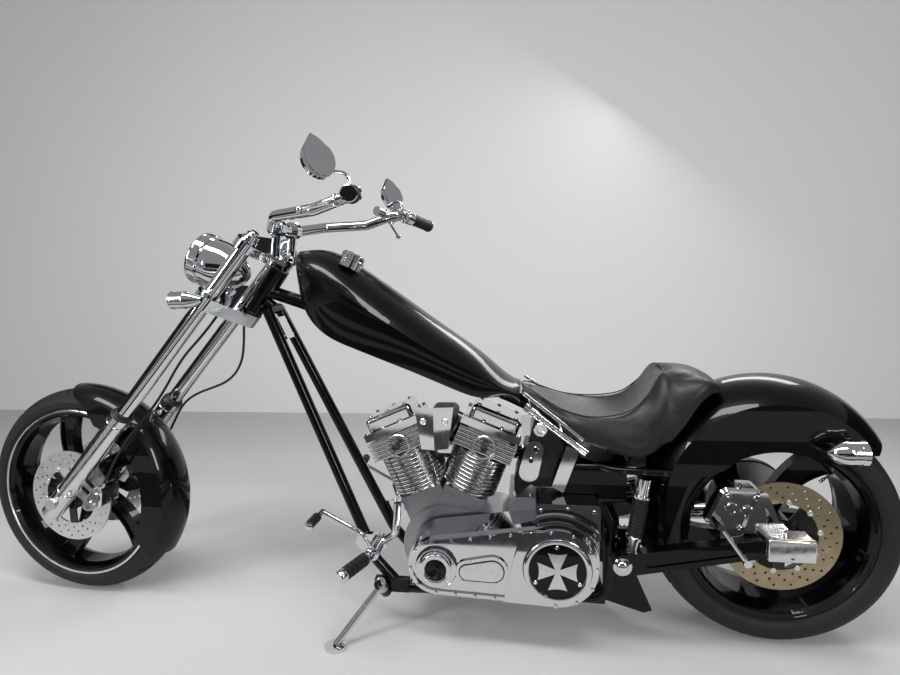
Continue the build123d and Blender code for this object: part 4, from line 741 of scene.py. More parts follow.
def signal_centres():
    """Middle of each front signal in the straight-ahead space."""
    legs = tilted((-WHEELBASE, 0, FRONT_TYRE_RADIUS), LEG_RAKE)
    for side in SIDES:
        foot = legs @ Vector((0, side * (LEG_HALF_SPACING + 30), LOWER_TREE_AT))
        yield Vector((foot.x - 10, side * (LEG_HALF_SPACING + 72), foot.z + 2))


class CHOPPER_OT_small_lamps(bpy.types.Operator):
    """Adds the signals' lenses and rims, and the rims of the tail lamps"""
    bl_idname = "chopper.small_lamps"
    bl_label = "Small Lamps"

    def execute(self, context):
        lenses, rims = bmesh.new(), bmesh.new()
        for centre in signal_centres():
            front = centre + Vector((-42, 0, 0))
            add_turned(lenses, front, (-1, 0, 0),
                       [(-1, 0), (-1, 20), (2, 20), (5, 15), (7.5, 8), (8.5, 0)], 32)
            add_band(rims, front + Vector((3, 0, 0)), (-1, 0, 0), 20, 25.6, 8, 40)
            add_band(rims, centre + Vector((-4, 0, 0)), (-1, 0, 0), 23, 25.0, 4, 40)
        set_down("signal_lenses", lenses, STRAIGHT, "fork", "amber")
        set_down("signal_rims", rims, STRAIGHT, "fork", "chrome")
        tail = bmesh.new()
        for side in SIDES:
            at = (-20 + 132 + 30, side * 170, REAR_TYRE_RADIUS + 86 + 165)
            add_band(tail, at, (1, 0, 0), 27.3, 31.5, 15, 40)
        set_down("tail_lamp_rims", tail, MACHINE, "frame", "chrome")
        return {"FINISHED"}


# Handlebar
# x and z of the bar's clamps
CLAMP_AT = (-1378, 1184)
GRIP_LENGTH = 122.0
BAR_SWEEP = 18.0
BAR_DROOP = 8.0


def grip_axis(side):
    """The end of the bar and the unit vector back along it."""
    sweep = radians(BAR_SWEEP)
    out = Vector((sin(sweep), side * cos(sweep), -tan(radians(BAR_DROOP)))).normalized()
    return Vector((-1022, side * 385, 1214)), -out


def add_grip(bm, end, back, count):
    """A grip with raised ribs between two plain collars."""
    profile = [(5, 15.95), (5, 19.8), (6, 20.5), (9, 20.5), (11, 17.6)]
    pitch = (GRIP_LENGTH - 24) / count
    profile += ribs(12, pitch, count, 17.4, 19.0, pitch * 0.15, pitch * 0.65, pitch * 0.8)
    profile += [(GRIP_LENGTH - 11, 17.6), (GRIP_LENGTH - 9, 20.5), (GRIP_LENGTH, 20.5), (GRIP_LENGTH, 15.95)]
    add_turned(bm, end, back, profile, 36, ring=True)


class CHOPPER_OT_grips(bpy.types.Operator):
    """Adds the ribbed grips and the bright ends of the bar"""
    bl_idname = "chopper.grips"
    bl_label = "Grips"

    def execute(self, context):
        grips, ends, holes = bmesh.new(), bmesh.new(), bmesh.new()
        for side in SIDES:
            end, back = grip_axis(side)
            add_grip(grips, end, back, context.scene.chopper_trim.grip_ribs)
            add_turned(ends, end + back * 4.9, -back,
                       [(0, 5), (0, 19.6), (2.6, 19.6), (4.2, 17.8), (4.6, 8), (4.0, 5)], 36, ring=True)
            # A dark disc in the bar end's hole: painted shade of the open tube.
            add_stud(holes, end + back * 4.9, -back, 5.2, 2.4, 20, 1.0)
        piece = set_down("grips_ribbed", grips, STRAIGHT, "fork", "rubber")
        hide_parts("grips")
        set_down("bar_ends", ends, STRAIGHT, "fork", "chrome")
        set_down("bar_end_painted_shade", holes, STRAIGHT, "fork", "powder")
        return {"FINISHED"}


LEVER_FORWARD = Vector((-0.97, 0, -0.24))
# side: the mirror's middle, and the way its glass faces
MIRRORS = (
    (-1, (-1128, -300, 1321), (0.72, -0.66, 0.2)),
    (1, (-1128, 300, 1321), (0.80, -0.55, 0.2)),
)


class CHOPPER_OT_bar_controls(bpy.types.Operator):
    """Adds the switches, the levers' pivots, the clamps' screws and the mirrors' glasses"""
    bl_idname = "chopper.bar_controls"
    bl_label = "Bar Controls"

    def execute(self, context):
        buttons, screws = bmesh.new(), bmesh.new()
        for side in SIDES:
            end, back = grip_axis(side)
            inner = end + back * (GRIP_LENGTH + 1)
            for along, up in ((8, 0.35), (20, 0.35), (8, -0.4), (20, -0.4)):
                toward = Vector((0.92, 0, up))
                facing = (toward - back * back.dot(toward)).normalized()
                add_screw(buttons, inner + back * along + facing * 22, facing, (4.6, 2.6, 3.6, 3.8, 3.8),
                          sides=18)
            perch = inner + back * 38
            root = perch + LEVER_FORWARD * 46
            for up in SIDES:
                add_screw(screws, root + Vector((0, 0, up * 12.5)), (0, 0, up), (7.5, 2, 3, 6.5),
                          (2.6, 1.6, 2.4), 18)
                clamp = perch - LEVER_FORWARD * 16 + Vector((0, 0, up * 9))
                add_stud(screws, clamp, -LEVER_FORWARD, 4.4, 8, 12)
            add_band(screws, inner + back * 28.2, back, 16.2, 22, 2.4, 36)
            if side > 0:
                cup = root + back * 26 + Vector((0, 0, 12))
                for along in (6, 40):
                    add_stud(screws, cup + back * along + Vector((0, 0, 14)), (0, 0, 1), 3.4, 3, 12)
        set_down("switch_buttons", buttons, STRAIGHT, "fork", "powder")
        for side in SIDES:
            for x in (CLAMP_AT[0] - 16, CLAMP_AT[0] + 16):
                for y in (side * 48 - 8, side * 48 + 8):
                    add_screw(screws, (x, y, CLAMP_AT[1] + 19), (0, 0, 1), (4.6, 5, 6, 4), (2.2, 4, 2))
        set_down("bar_screws", screws, STRAIGHT, "fork", "chrome")
        glasses = bmesh.new()
        for side, head, facing in MIRRORS:
            z = Vector(facing).normalized()
            x = (Vector((-0.3, 0, 1)) - z * z.dot(Vector((-0.3, 0, 1)))).normalized()
            turn = Matrix((x, z.cross(x), z)).transposed().to_4x4()
            place = Matrix.Translation(Vector(head) + z * 0.2) @ turn
            made_circle = bmesh.ops.create_circle(glasses, cap_ends=True, segments=40, radius=1.0)
            bmesh.ops.scale(glasses, vec=(50, 33, 1), verts=made_circle["verts"])
            for vert in made_circle["verts"]:
                if vert.co.x > 15:
                    vert.co.y *= 1 - 0.25 * (vert.co.x - 15) / 35
            rims = list({face for vert in made_circle["verts"] for face in vert.link_faces})
            thick = bmesh.ops.extrude_face_region(glasses, geom=rims)
            top = [item for item in thick["geom"] if isinstance(item, bmesh.types.BMVert)]
            bmesh.ops.translate(glasses, vec=(0, 0, 1.4), verts=top)
            whole = set(made_circle["verts"]) | set(top)
            bmesh.ops.transform(glasses, matrix=place, verts=list(whole))
        set_down("mirror_glasses", glasses, STRAIGHT, "fork", "chrome", 30)
        return {"FINISHED"}


# Bodywork
CAP_PLACE = (Matrix.Translation((-1160, -46, 1080)) @ Matrix.Rotation(radians(-14), 4, "X")
             @ Matrix.Rotation(radians(24), 4, "Y"))


class CHOPPER_OT_tank_trim(bpy.types.Operator):
    """Adds the filler cap's knurled rim and the fenders' screws"""
    bl_idname = "chopper.tank_trim"
    bl_label = "Tank and Fender Trim"

    def execute(self, context):
        cap = bmesh.new()
        add_turned(cap, (0, 0, 19.5), (0, 0, 1),
                   [(0, 0), (0, 33.6), (2, 33.6), (5, 30), (7.5, 20), (8.5, 0)], 48)
        for k in range(36):
            turn = Matrix.Rotation(2 * pi * k / 36, 4, "Z")
            add_block(cap, (32.4, -1.5, 6), (34.4, 1.5, 18), turn)
        add_band(cap, (0, 0, 3), (0, 0, 1), 32.8, 37.5, 4, 48)
        set_down("filler_cap_rim", cap, MACHINE @ CAP_PLACE, "frame", "chrome")
        screws = bmesh.new()
        high = REAR_TYRE_RADIUS + 86 + 89
        for side in SIDES:
            for x in (-300, -352, -404):
                add_screw(screws, (x, side * 143, high + (0 if x > -330 else 2)), (0, side, 0),
                          (6, 2, 3, 4.6), sides=16)
        set_down("fender_screws", screws, MACHINE, "frame", "powder")
        return {"FINISHED"}


# Seat: x, half width and height at its crisp edge
SEAT_EDGE = (
    (-676, 40, 713), (-643, 54, 703), (-592, 92, 674), (-542, 116, 655), (-475, 130, 646), (-386, 112, 658),
    (-346, 94, 691), (-286, 66, 762), (-250, 76, 758), (-208, 84, 750), (-152, 80, 722),
)


SEAT_CREST = -290


def edge_at(x):
    """Half width and height of the seat's crisp edge at a place along it."""
    for (x0, half0, z0), (x1, half1, z1) in zip(SEAT_EDGE, SEAT_EDGE[1:]):
        if x <= x1:
            share = max(0.0, (x - x0) / (x1 - x0))
            return half0 + (half1 - half0) * share, z0 + (z1 - z0) * share
    return SEAT_EDGE[-1][1:]


def stuffed(obj, pressure, cap_mm):
    """Fills a pad as cloth under pressure, with no point moved further than the cap."""
    scene = bpy.context.scene
    before = [vert.co.copy() for vert in obj.data.vertices]
    cloth = obj.modifiers.new("stuffing", "CLOTH")
    cloth.settings.use_pressure = True
    cloth.settings.uniform_pressure_force = pressure
    cloth.settings.tension_stiffness = 40
    cloth.settings.compression_stiffness = 40
    cloth.settings.bending_stiffness = 4
    cloth.settings.effector_weights.gravity = 0
    cloth.point_cache.frame_start = 1
    cloth.point_cache.frame_end = 20
    for step in range(1, 21):
        scene.frame_set(step)
    graph = bpy.context.evaluated_depsgraph_get()
    filled = obj.evaluated_get(graph).to_mesh()
    after = [vert.co.copy() for vert in filled.vertices]
    obj.modifiers.remove(cloth)
    scene.frame_set(1)
    limit = cap_mm * MILLIMETRE
    for vert, old, new in zip(obj.data.vertices, before, after):
        move = new - old
        if move.length > limit:
            move *= limit / move.length
        vert.co = old + move


def remeshed(obj, voxel_mm):
    """Gives a closed mesh an even skin of small faces."""
    skin = obj.modifiers.new("skin", "REMESH")
    skin.mode = "VOXEL"
    skin.voxel_size = voxel_mm * MILLIMETRE
    graph = bpy.context.evaluated_depsgraph_get()
    mesh = bpy.data.meshes.new_from_object(obj.evaluated_get(graph))
    obj.modifiers.remove(skin)
    obj.data = mesh


def seat_cover():
    """The seat's own solid, re-skinned, filled and softened."""
    mesh = frame["nodes"]["seat"].data.copy()
    bm = bmesh.new()
    bm.from_mesh(mesh)
    bmesh.ops.remove_doubles(bm, verts=bm.verts, dist=0.02 * MILLIMETRE)
    bmesh.ops.recalc_face_normals(bm, faces=bm.faces)
    bm.to_mesh(mesh)
    bm.free()
    seat = add_to_scene(bpy.data.objects.new("seat_cover", mesh))
    remeshed(seat, 5)
    bm = bmesh.new()
    bm.from_mesh(seat.data)
    bmesh.ops.smooth_vert(bm, verts=bm.verts, factor=0.5, use_axis_x=True, use_axis_y=True, use_axis_z=True)
    bm.normal_update()
    for vert in bm.verts:
        vert.co -= vert.normal * 2.2 * MILLIMETRE
    bm.to_mesh(seat.data)
    bm.free()
    stuffed(seat, bpy.context.scene.chopper_trim.seat_pressure, 4.0)
    seat.data.materials.clear()
    seat.data.materials.append(finish("leather"))
    seat.data.materials.append(finish("panel"))
    to_machine = MACHINE.inverted()
    # Upward faces inside the crisp edge get the paler panel colour: painted light on the seat's top.
    for polygon in seat.data.polygons:
        middle = to_machine @ polygon.center
        half, height = edge_at(middle.x)
        inside = (middle.x < SEAT_CREST and abs(middle.y) < half - 1 and middle.z > height - 34
                  and polygon.normal.z > 0.2)
        polygon.material_index = 1 if inside else 0
    seat.data.shade_smooth()
    soften = seat.modifiers.new("soften", "SUBSURF")
    soften.levels = 1
    soften.render_levels = 1
    return seat


def smooth_curve(name, points, place, radius, resolution, closed=False):
    """A smooth round curve of a radius along points."""
    curve = bpy.data.curves.new(name, "CURVE")
    curve.dimensions = "3D"
    curve.bevel_depth = radius * MILLIMETRE
    curve.bevel_resolution = 3
    curve.resolution_u = resolution
    curve.use_fill_caps = True
    spline = curve.splines.new("NURBS")
    spline.points.add(len(points) - 1)
    for knot, point in zip(spline.points, points):
        knot.co = (*(place @ Vector(point)), 1.0)
    spline.order_u = 3
    spline.use_cyclic_u = closed
    spline.use_endpoint_u = not closed
    return curve

def add_path_tube(name, points, place, radius, finish_name, body, closed=False):
    """A round strip along points, as a smooth curve made a mesh."""
    source = bpy.data.objects.new(name, smooth_curve(name, points, place, radius, 6, closed))
    add_to_scene(source)
    graph = bpy.context.evaluated_depsgraph_get()
    mesh = bpy.data.meshes.new_from_object(source.evaluated_get(graph))
    bpy.data.objects.remove(source)
    mesh.materials.clear()
    mesh.materials.append(finish(finish_name))
    piece = add_to_scene(bpy.data.objects.new(name, mesh))
    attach(piece, body)
    return piece


class CHOPPER_OT_seat(bpy.types.Operator):
    """Adds the padded seat, the piping along its edge and its bright strips"""
    bl_idname = "chopper.seat"
    bl_label = "Seat"

    def execute(self, context):
        seat = seat_cover()
        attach(seat, "frame")
        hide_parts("seat")
        panel = [knot for knot in SEAT_EDGE if knot[0] <= SEAT_CREST + 10]
        left = [(x, -half, z + 0.5) for x, half, z in panel]
        right = [(x, half, z + 0.5) for x, half, z in reversed(panel)]
        add_path_tube("seat_piping", left + right, MACHINE, 2.0, "leather", "frame", closed=True)
        strips = bmesh.new()
        for side in SIDES:
            front, back = Vector((-670, side * 118, 712)), Vector((-512, side * 152, 593))
            add_bar(strips, front, back, 4.6)
            if side < 0:
                rail_front, rail_back = Vector((-664, -112, 676)), Vector((-500, -126, 552))
                for share in (0.1, 0.6):
                    add_bar(strips, front.lerp(back, share), rail_front.lerp(rail_back, share), 3, 10)
            else:
                for share in (0.1, 0.6):
                    foot = front.lerp(back, share)
                    add_bar(strips, foot, (foot.x, 40, foot.z - 8), 3, 10)
        set_down("seat_strips", strips, MACHINE, "frame", "chrome")
        return {"FINISHED"}


# Engine
def cylinder_places():
    """The places of both cylinders, the front one first."""
    for angle in (-CYLINDER_ANGLE, CYLINDER_ANGLE):
        yield tilted((CRANK[0], 0, CRANK[1]), angle)


def add_fins(bm, place):
    """The thin fins between the cast ones of a barrel and its head."""
    for k in range(9):
        z = CYLINDER_FOOT + 12 + (k + 0.5) * FIN_PITCH
        add_band(bm, (0, 0, z - 1.1), (0, 0, 1), 62, 86.4, 2.2, 48, 0.5)
    for k in range(5):
        z = HEAD_FOOT + 6 + (k + 0.5) * FIN_PITCH
        add_block(bm, (-87, -79, z - 1.1), (87, 79, z + 1.1))
    bmesh.ops.transform(bm, matrix=place, verts=bm.verts)


class CHOPPER_OT_fins(bpy.types.Operator):
    """Adds the thin fins of both cylinders"""
    bl_idname = "chopper.fins"
    bl_label = "Cylinder Fins"

    def execute(self, context):
        for side, end, place in zip(SIDES, ("front", "rear"), cylinder_places()):
            bm = bmesh.new()
            add_fins(bm, place)
            trimmed(bm, (CRANK[0] + side * 3, 0, 0), (-side, 0, 0))
            set_down("thin_fins_" + end, bm, MACHINE, "frame", "polished")
        return {"FINISHED"}


class CHOPPER_OT_heads(bpy.types.Operator):
    """Adds the spark plugs and boots in their recesses and the screws of the rocker boxes and barrels"""
    bl_idname = "chopper.heads"
    bl_label = "Heads"

    def execute(self, context):
        screws, wells, plugs, hexes, shades, boots = (bmesh.new() for _ in range(6))
        for place in cylinder_places():
            turn = place.to_3x3()

            def at(x, y, z):
                return place @ Vector((x, y, z))
            up = turn @ Vector((0, 0, 1))
            for x in (-82, -28, 28, 82):
                for y in (-63, 63):
                    add_screw(screws, at(x, y, ROCKER_FOOT + 22), up, (5.6, 5, 6, 4.8), (2.6, 3.5, 2.4))
            for x in (-56, 0, 56):
                for y in (-38, 38):
                    add_screw(screws, at(x, y, ROCKER_FOOT + 62), up, (6, 2, 3.6, 4.6, 3.8))
            for x in (-58, 58):
                for y in (-60, 60):
                    add_stud(screws, at(x, y, CYLINDER_FOOT), up, 8.5, 9, 6, 0.96)
            add_band(screws, at(0, 0, CYLINDER_FOOT - 0.5), up, 60, 72, 5, 48)
            out = turn @ Vector((0, -1, 0))
            middle = at(0, -80, HEAD_FOOT + 26)
            add_turned(wells, middle - out * 6, out,
                       [(0, 0), (0, 35), (7.5, 35), (9, 33.5), (9, 30.5), (2, 28), (2, 0)], 40)
            # A dark disc over the well's floor: painted shade in the plug's recess.
            add_stud(shades, middle - out * 4.4, out, 28.4, 0.8, 36, 1.0)
            lean = (turn @ Vector((0, -1, 0.16))).normalized()
            add_stud(hexes, middle - out * 3.4, lean, 10.4, 9, 6, 1.0)
            add_turned(plugs, middle + lean * 5.4, lean, [(0, 0), (0, 7.2), (7, 6.4), (7, 0)], 18)
            add_turned(boots, middle + lean * 10, lean, [
                (0, 0), (0, 9.6), (12, 9.2), (13, 10.4), (16, 10.4), (17, 8.8), (27, 8.0), (28.5, 6.2),
                (28.5, 0)], 24)
        set_down("engine_screws", screws, MACHINE, "frame", "chrome")
        set_down("plug_wells", wells, MACHINE, "frame", "polished")
        set_down("plug_painted_shades", shades, MACHINE, "frame", "powder")
        set_down("spark_plugs", plugs, MACHINE, "frame", "ceramic")
        set_down("plug_hexes", hexes, MACHINE, "frame", "chrome")
        set_down("plug_boots", boots, MACHINE, "frame", "rubber")
        return {"FINISHED"}


def trimmed(bm, at, normal):
    """Cuts off what lies beyond a plane and closes the cut."""
    geom = list(bm.verts) + list(bm.edges) + list(bm.faces)
    cut = bmesh.ops.bisect_plane(bm, geom=geom, plane_co=at, plane_no=normal, clear_outer=True, dist=0.001)
    edges = [item for item in cut["geom_cut"] if isinstance(item, bmesh.types.BMEdge)]
    bmesh.ops.holes_fill(bm, edges=edges, sides=0)


def outline_places(circles, inset, spacing):
    """Even places along the taut outline round two circles (x, z, radius), inset towards the middle."""
    (x0, z0, r0), (x1, z1, r1) = circles
    run = hypot(x1 - x0, z1 - z0)
    along = atan2(z1 - z0, x1 - x0)
    lean = atan2(r1 - r0, run)
    points = []
    for (x, z, r), first, last in (
            ((x0, z0, r0 - inset), along + pi / 2 + lean, along + 3 * pi / 2 - lean),
            ((x1, z1, r1 - inset), along - pi / 2 - lean, along + pi / 2 + lean)):
        count = max(2, round(abs(last - first) * r / spacing))
        turns = [first + (last - first) * k / count for k in range(count + 1)]
        points += [(x + r * cos(turn), z + r * sin(turn)) for turn in turns]
    ends = []
    for side in (1, -1):
        turn = along + side * (pi / 2 + lean)
        a = Vector((x0 + (r0 - inset) * cos(turn), z0 + (r0 - inset) * sin(turn)))
        b = Vector((x1 + (r1 - inset) * cos(turn), z1 + (r1 - inset) * sin(turn)))
        count = max(2, round((b - a).length / spacing))
        ends += [tuple(a.lerp(b, k / count)) for k in range(1, count)]
    return points + ends


PRIMARY_FACE = -208.0
CLUTCH_FACE = -222.0
PRIMARY_CIRCLES = ((CRANK[0], CRANK[1] + 8, 82.0), (CLUTCH[0], CLUTCH[1], 112.0))
WINDOW_CIRCLES = ((-824, 237, 24.5), (-756, 243, 32.5))


class CHOPPER_OT_primary_trim(bpy.types.Operator):
    """Adds the primary cover's screws, its dark window and the covers' seals"""
    bl_idname = "chopper.primary_trim"
    bl_label = "Primary Trim"

    def execute(self, context):
        radius = context.scene.chopper_trim.screw_radius
        screws, dark = bmesh.new(), bmesh.new()
        for x, z in outline_places(PRIMARY_CIRCLES, 9, 58):
            behind_step = x > -700
            face = PRIMARY_FACE - (14 if behind_step and hypot(x - CLUTCH[0], z - CLUTCH[1]) < 107 else 6)
            add_screw(screws, (x, face, z), (0, -1, 0), (radius, 3, 4, radius - 0.9),
                      (radius * 0.5, 2.4, radius * 0.45))
        for x, z in ((-812, 268), (-838, 212), (-742, 210), (-738, 276)):
            add_stud(screws, (x, PRIMARY_FACE - 7, z), (0, -1, 0), 3.4, 2.2, 12)
        for x, z in ((-626, 414), (-488, 414), (-556, 420), (-486, 352)):
            add_screw(screws, (x, -198, z), (0, -1, 0), (5.2, 3.6, 4.6, 4.4), (2.4, 2.8, 2.2))
        set_down("primary_screws", screws, MACHINE, "frame", "chrome")
        add_hull(dark, WINDOW_CIRCLES, PRIMARY_FACE - 3.6, PRIMARY_FACE - 2.6, 36)
        set_down("primary_window", dark, MACHINE, "frame", "powder")
        plate = bmesh.new()
        add_hull(plate, [(x, z, r - 3.2) for x, z, r in WINDOW_CIRCLES], PRIMARY_FACE - 8.6,
                 PRIMARY_FACE - 3.0, 36)
        set_down("window_plate", plate, MACHINE, "frame", "polished")
        bands = bmesh.new()
        for radius, width in ((129, 13), (152, 10), (106, 12)):
            add_band(bands, (CLUTCH[0], -197.6, CLUTCH[1]), (0, -1, 0), radius - width / 2,
                     radius + width / 2, 1.2, 120)
        for at, normal in (((-632, 0, 0), (-1, 0, 0)), ((-480, 0, 0), (1, 0, 0)), ((0, 0, 344), (0, 0, -1)),
                           ((0, 0, 424), (0, 0, 1))):
            trimmed(bands, at, normal)
        set_down("starter_bands", bands, MACHINE, "frame", "powder")
        seals = bmesh.new()
        add_band(seals, (CLUTCH[0], CLUTCH_FACE, CLUTCH[1]), (0, -1, 0), 86, 90.5, 1.6, 72)
        add_band(seals, (CRANK[0], PRIMARY_FACE, CRANK[1] + 8), (0, -1, 0), 55, 58.6, 1.6, 60)
        set_down("cover_seals", seals, MACHINE, "frame", "rubber")
        return {"FINISHED"}


def add_cross(bm, place, arm, inner, outer, thick):
    """A cross whose four arms widen from the middle and end in a hollow, standing along -y."""
    tip = [(arm, -outer)] + arc_through((arm, -outer), (arm * 0.92, 0), (arm, outer), 8)
    outline = []
    for k in range(4):
        turn = Matrix.Rotation(-pi / 2 * k, 3, "Y")
        outline += [turn @ Vector((x, 0, z)) for x, z in [(inner, -inner)] + tip]
    face = bm.faces.new([bm.verts.new(place @ point) for point in outline])
    raised = bmesh.ops.extrude_face_region(bm, geom=[face])
    top = [item for item in raised["geom"] if isinstance(item, bmesh.types.BMVert)]
    bmesh.ops.translate(bm, vec=(0, -thick, 0), verts=top)


class CHOPPER_OT_round_covers(bpy.types.Operator):
    """Adds the clutch's round cover with its cross and the round cover over the crank's end"""
    bl_idname = "chopper.round_covers"
    bl_label = "Round Covers"

    def execute(self, context):
        clutch = Vector((CLUTCH[0], CLUTCH_FACE, CLUTCH[1]))
        crank = Vector((CRANK[0], PRIMARY_FACE, CRANK[1] + 8))
        out = Vector((0, -1, 0))
        rims = bmesh.new()
        add_turned(rims, clutch, out, [
            (0, 0), (0, 88), (8, 88), (10, 87), (11, 84.5), (11, 78), (10, 76), (6, 75.2), (5.4, 0)], 96)
        add_turned(rims, crank, out, [(0, 0), (0, 56), (12, 56), (14, 54), (14, 43.5), (15, 42), (18.5, 42),
                                      (20, 40.5), (20, 32), (19, 30.5), (13.5, 30), (13.5, 0)], 72)
        covers = set_down("round_covers", rims, MACHINE, "frame", "chrome")
        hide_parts("primary_caps")
        dark = bmesh.new()
        add_turned(dark, clutch + out * 5, out, [(0, 0), (0, 75), (1.8, 74.6), (2, 0)], 72)
        add_turned(dark, crank + out * 13, out, [(0, 0), (0, 29.8), (3, 29.6), (3.4, 28)]
                   + [(3.4 + (1.2 if k % 2 else 0), 26 - 2.2 * k) for k in range(11)] + [(3.4, 0)], 48)
        set_down("cover_centres", dark, MACHINE, "frame", "enamel")
        cross = bmesh.new()
        add_cross(cross, Matrix.Translation(clutch + out * 6.8), 52, 6.4, 25, 4.2)
        set_down("cover_cross", cross, MACHINE, "frame", "polished")
        screws = bmesh.new()
        for k in range(3):
            add_screw(screws, clutch + out * 6.8 + polar(66, 90 + 120 * k), out, (5.6, 3.2, 4.2, 4.8),
                      (3, 2.6, 2.8), 18)
        for k in range(5):
            add_screw(screws, crank + out * 14 + polar(49, 90 + 72 * k), out, (3.6, 2.4, 3.2, 2.8))
        set_down("cover_screws", screws, MACHINE, "frame", "chrome")
        return {"FINISHED"}


class CHOPPER_OT_case_trim(bpy.types.Operator):
    """Adds the case's screws, the pushrod tubes' collars and the air cleaner's trim"""
    bl_idname = "chopper.case_trim"
    bl_label = "Case Trim"

    def execute(self, context):
        screws, collars, band = bmesh.new(), bmesh.new(), bmesh.new()
        for k in range(8):
            at = Vector((CRANK[0], 0, CRANK[1] + 26)) + polar(76, 22.5 + 45 * k)
            add_screw(screws, (at.x, 112, at.z), (0, 1, 0), (5, 3, 4, 4.2), (2.2, 2.4, 2))
        for x in range(-1010, -700, 34):
            add_stud(screws, (x, -70, 150), (0, -1, -0.1), 4.6, 12, 12)
        for x in (-700, -652, -604, -540, -490):
            for y in (-66, 62):
                add_stud(screws, (x, y, 400), (0, 0, 1), 5, 5, 12)
        for place in cylinder_places():
            for shift in (-16, 18):
                foot = place @ Vector((shift * 0.7, 94, 104))
                head = place @ Vector((shift * 1.8, 90, 360))
                run = (head - foot).normalized()
                for along in (62, 150):
                    add_band(collars, foot + run * along, run, 8.3, 11.2, 14, 24)
                add_band(collars, foot + run * 34, run, 8.3, 13.5, 12, 24)
                add_band(collars, head - run * 34, run, 8.3, 12.5, 12, 24)
        set_down("case_screws", screws, MACHINE, "frame", "chrome")
        set_down("pushrod_collars", collars, MACHINE, "frame", "chrome")
        cover = Vector((-910, 150, 520))
        add_turned(band, cover, (0, 1, 0), [(0, 0), (0, 70), (2, 69), (4, 60), (5, 40), (5.5, 0)], 56)
        for k in range(3):
            add_stud(band, cover + polar(56, 90 + 120 * k, 3.6), (0, 1, 0), 5, 4, 14)
        set_down("air_cleaner_cover", band, MACHINE, "frame", "chrome")
        filter_band = bmesh.new()
        folds = [(2 + 2 * k, 75.8 if k % 2 else 74.2) for k in range(14)]
        add_turned(filter_band, (-910, 108, 520), (0, 1, 0), [(0, 74)] + folds + [(30, 74)], 56, ring=True)
        set_down("air_cleaner_filter", filter_band, MACHINE, "frame", "powder")
        return {"FINISHED"}


# Rear of the machine
class CHOPPER_OT_rear_trim(bpy.types.Operator):
    """Adds the axle's covers, the pivot's caps, the caliper's screws and the damper's sleeve"""
    bl_idname = "chopper.rear_trim"
    bl_label = "Rear Trim"

    def execute(self, context):
        bright, dark, screws, covers = (bmesh.new() for _ in range(4))
        for side in SIDES:
            out = (0, side, 0)
            near, far = sorted((side * 193, side * 210))
            add_soft_block(covers, (-66.5, near, REAR_TYRE_RADIUS - 21.5),
                           (45.5, far, REAR_TYRE_RADIUS + 37.5), 5)
            add_turned(bright, (PIVOT[0], side * 189, PIVOT[1]), out,
                       [(0, 0), (0, 25), (4, 25), (6, 23), (7, 16), (9, 15), (11.5, 11), (12, 0)], 36)
            back = (45.5, side * 173, REAR_TYRE_RADIUS + 8)
            add_stud(screws, back, (1, 0, 0), 10, 6.5, 6, 0.97)
            add_turned(screws, (-11, side * 210, REAR_TYRE_RADIUS - 8), out,
                       [(0, 0), (0, 4.6), (0.8, 4.4), (0.8, 2.4), (0.3, 0)], 16)
        face = -REAR_DISC_Y - 40
        for x, z, radius in ((-172, 62, 7), (-148, 128, 7), (-80, 124, 7), (-118, 40, 6)):
            add_screw(screws, (x, face, REAR_TYRE_RADIUS + z), (0, -1, 0), (radius, 5, 6, radius - 1),
                      (radius * 0.55, 3, radius * 0.5), 16)
        for x, z in ((-138, 92), (-100, 84)):
            add_turned(bright, (x, face - 4, REAR_TYRE_RADIUS + z), (0, -1, 0),
                       [(0, 0), (0, 15.5), (1.5, 14.5), (1.5, 11), (0.6, 10.4), (0.6, 0)], 32)
        add_stud(bright, (-118, face + 8, REAR_TYRE_RADIUS + 144), (0, -0.3, 1), 4.4, 12, 6)
        set_down("pivot_caps", bright, MACHINE, "frame", "chrome")
        set_down("axle_covers", covers, MACHINE, "frame", "polished")
        set_down("rear_screws", screws, MACHINE, "frame", "chrome")
        low, high = Vector((-390, -165, 276)), Vector((-354, -150, 490))
        run = (high - low).normalized()
        length = (high - low).length
        reach = length * 0.46
        sleeve = [(0, 18.2)] + ribs(3, reach / 12, 12, 18.6, 21, 1.5, 5, 6.5) + [(reach + 4, 18.2)]
        add_turned(dark, low + run * length * 0.28, run, sleeve, 28, ring=True)
        set_down("damper_sleeve", dark, MACHINE, "frame", "rubber")
        rings = bmesh.new()
        for share in (0.24, 0.76):
            add_band(rings, low + run * length * share, run, 18.2, 23, 8, 32)
        set_down("damper_rings", rings, MACHINE, "frame", "chrome")
        return {"FINISHED"}


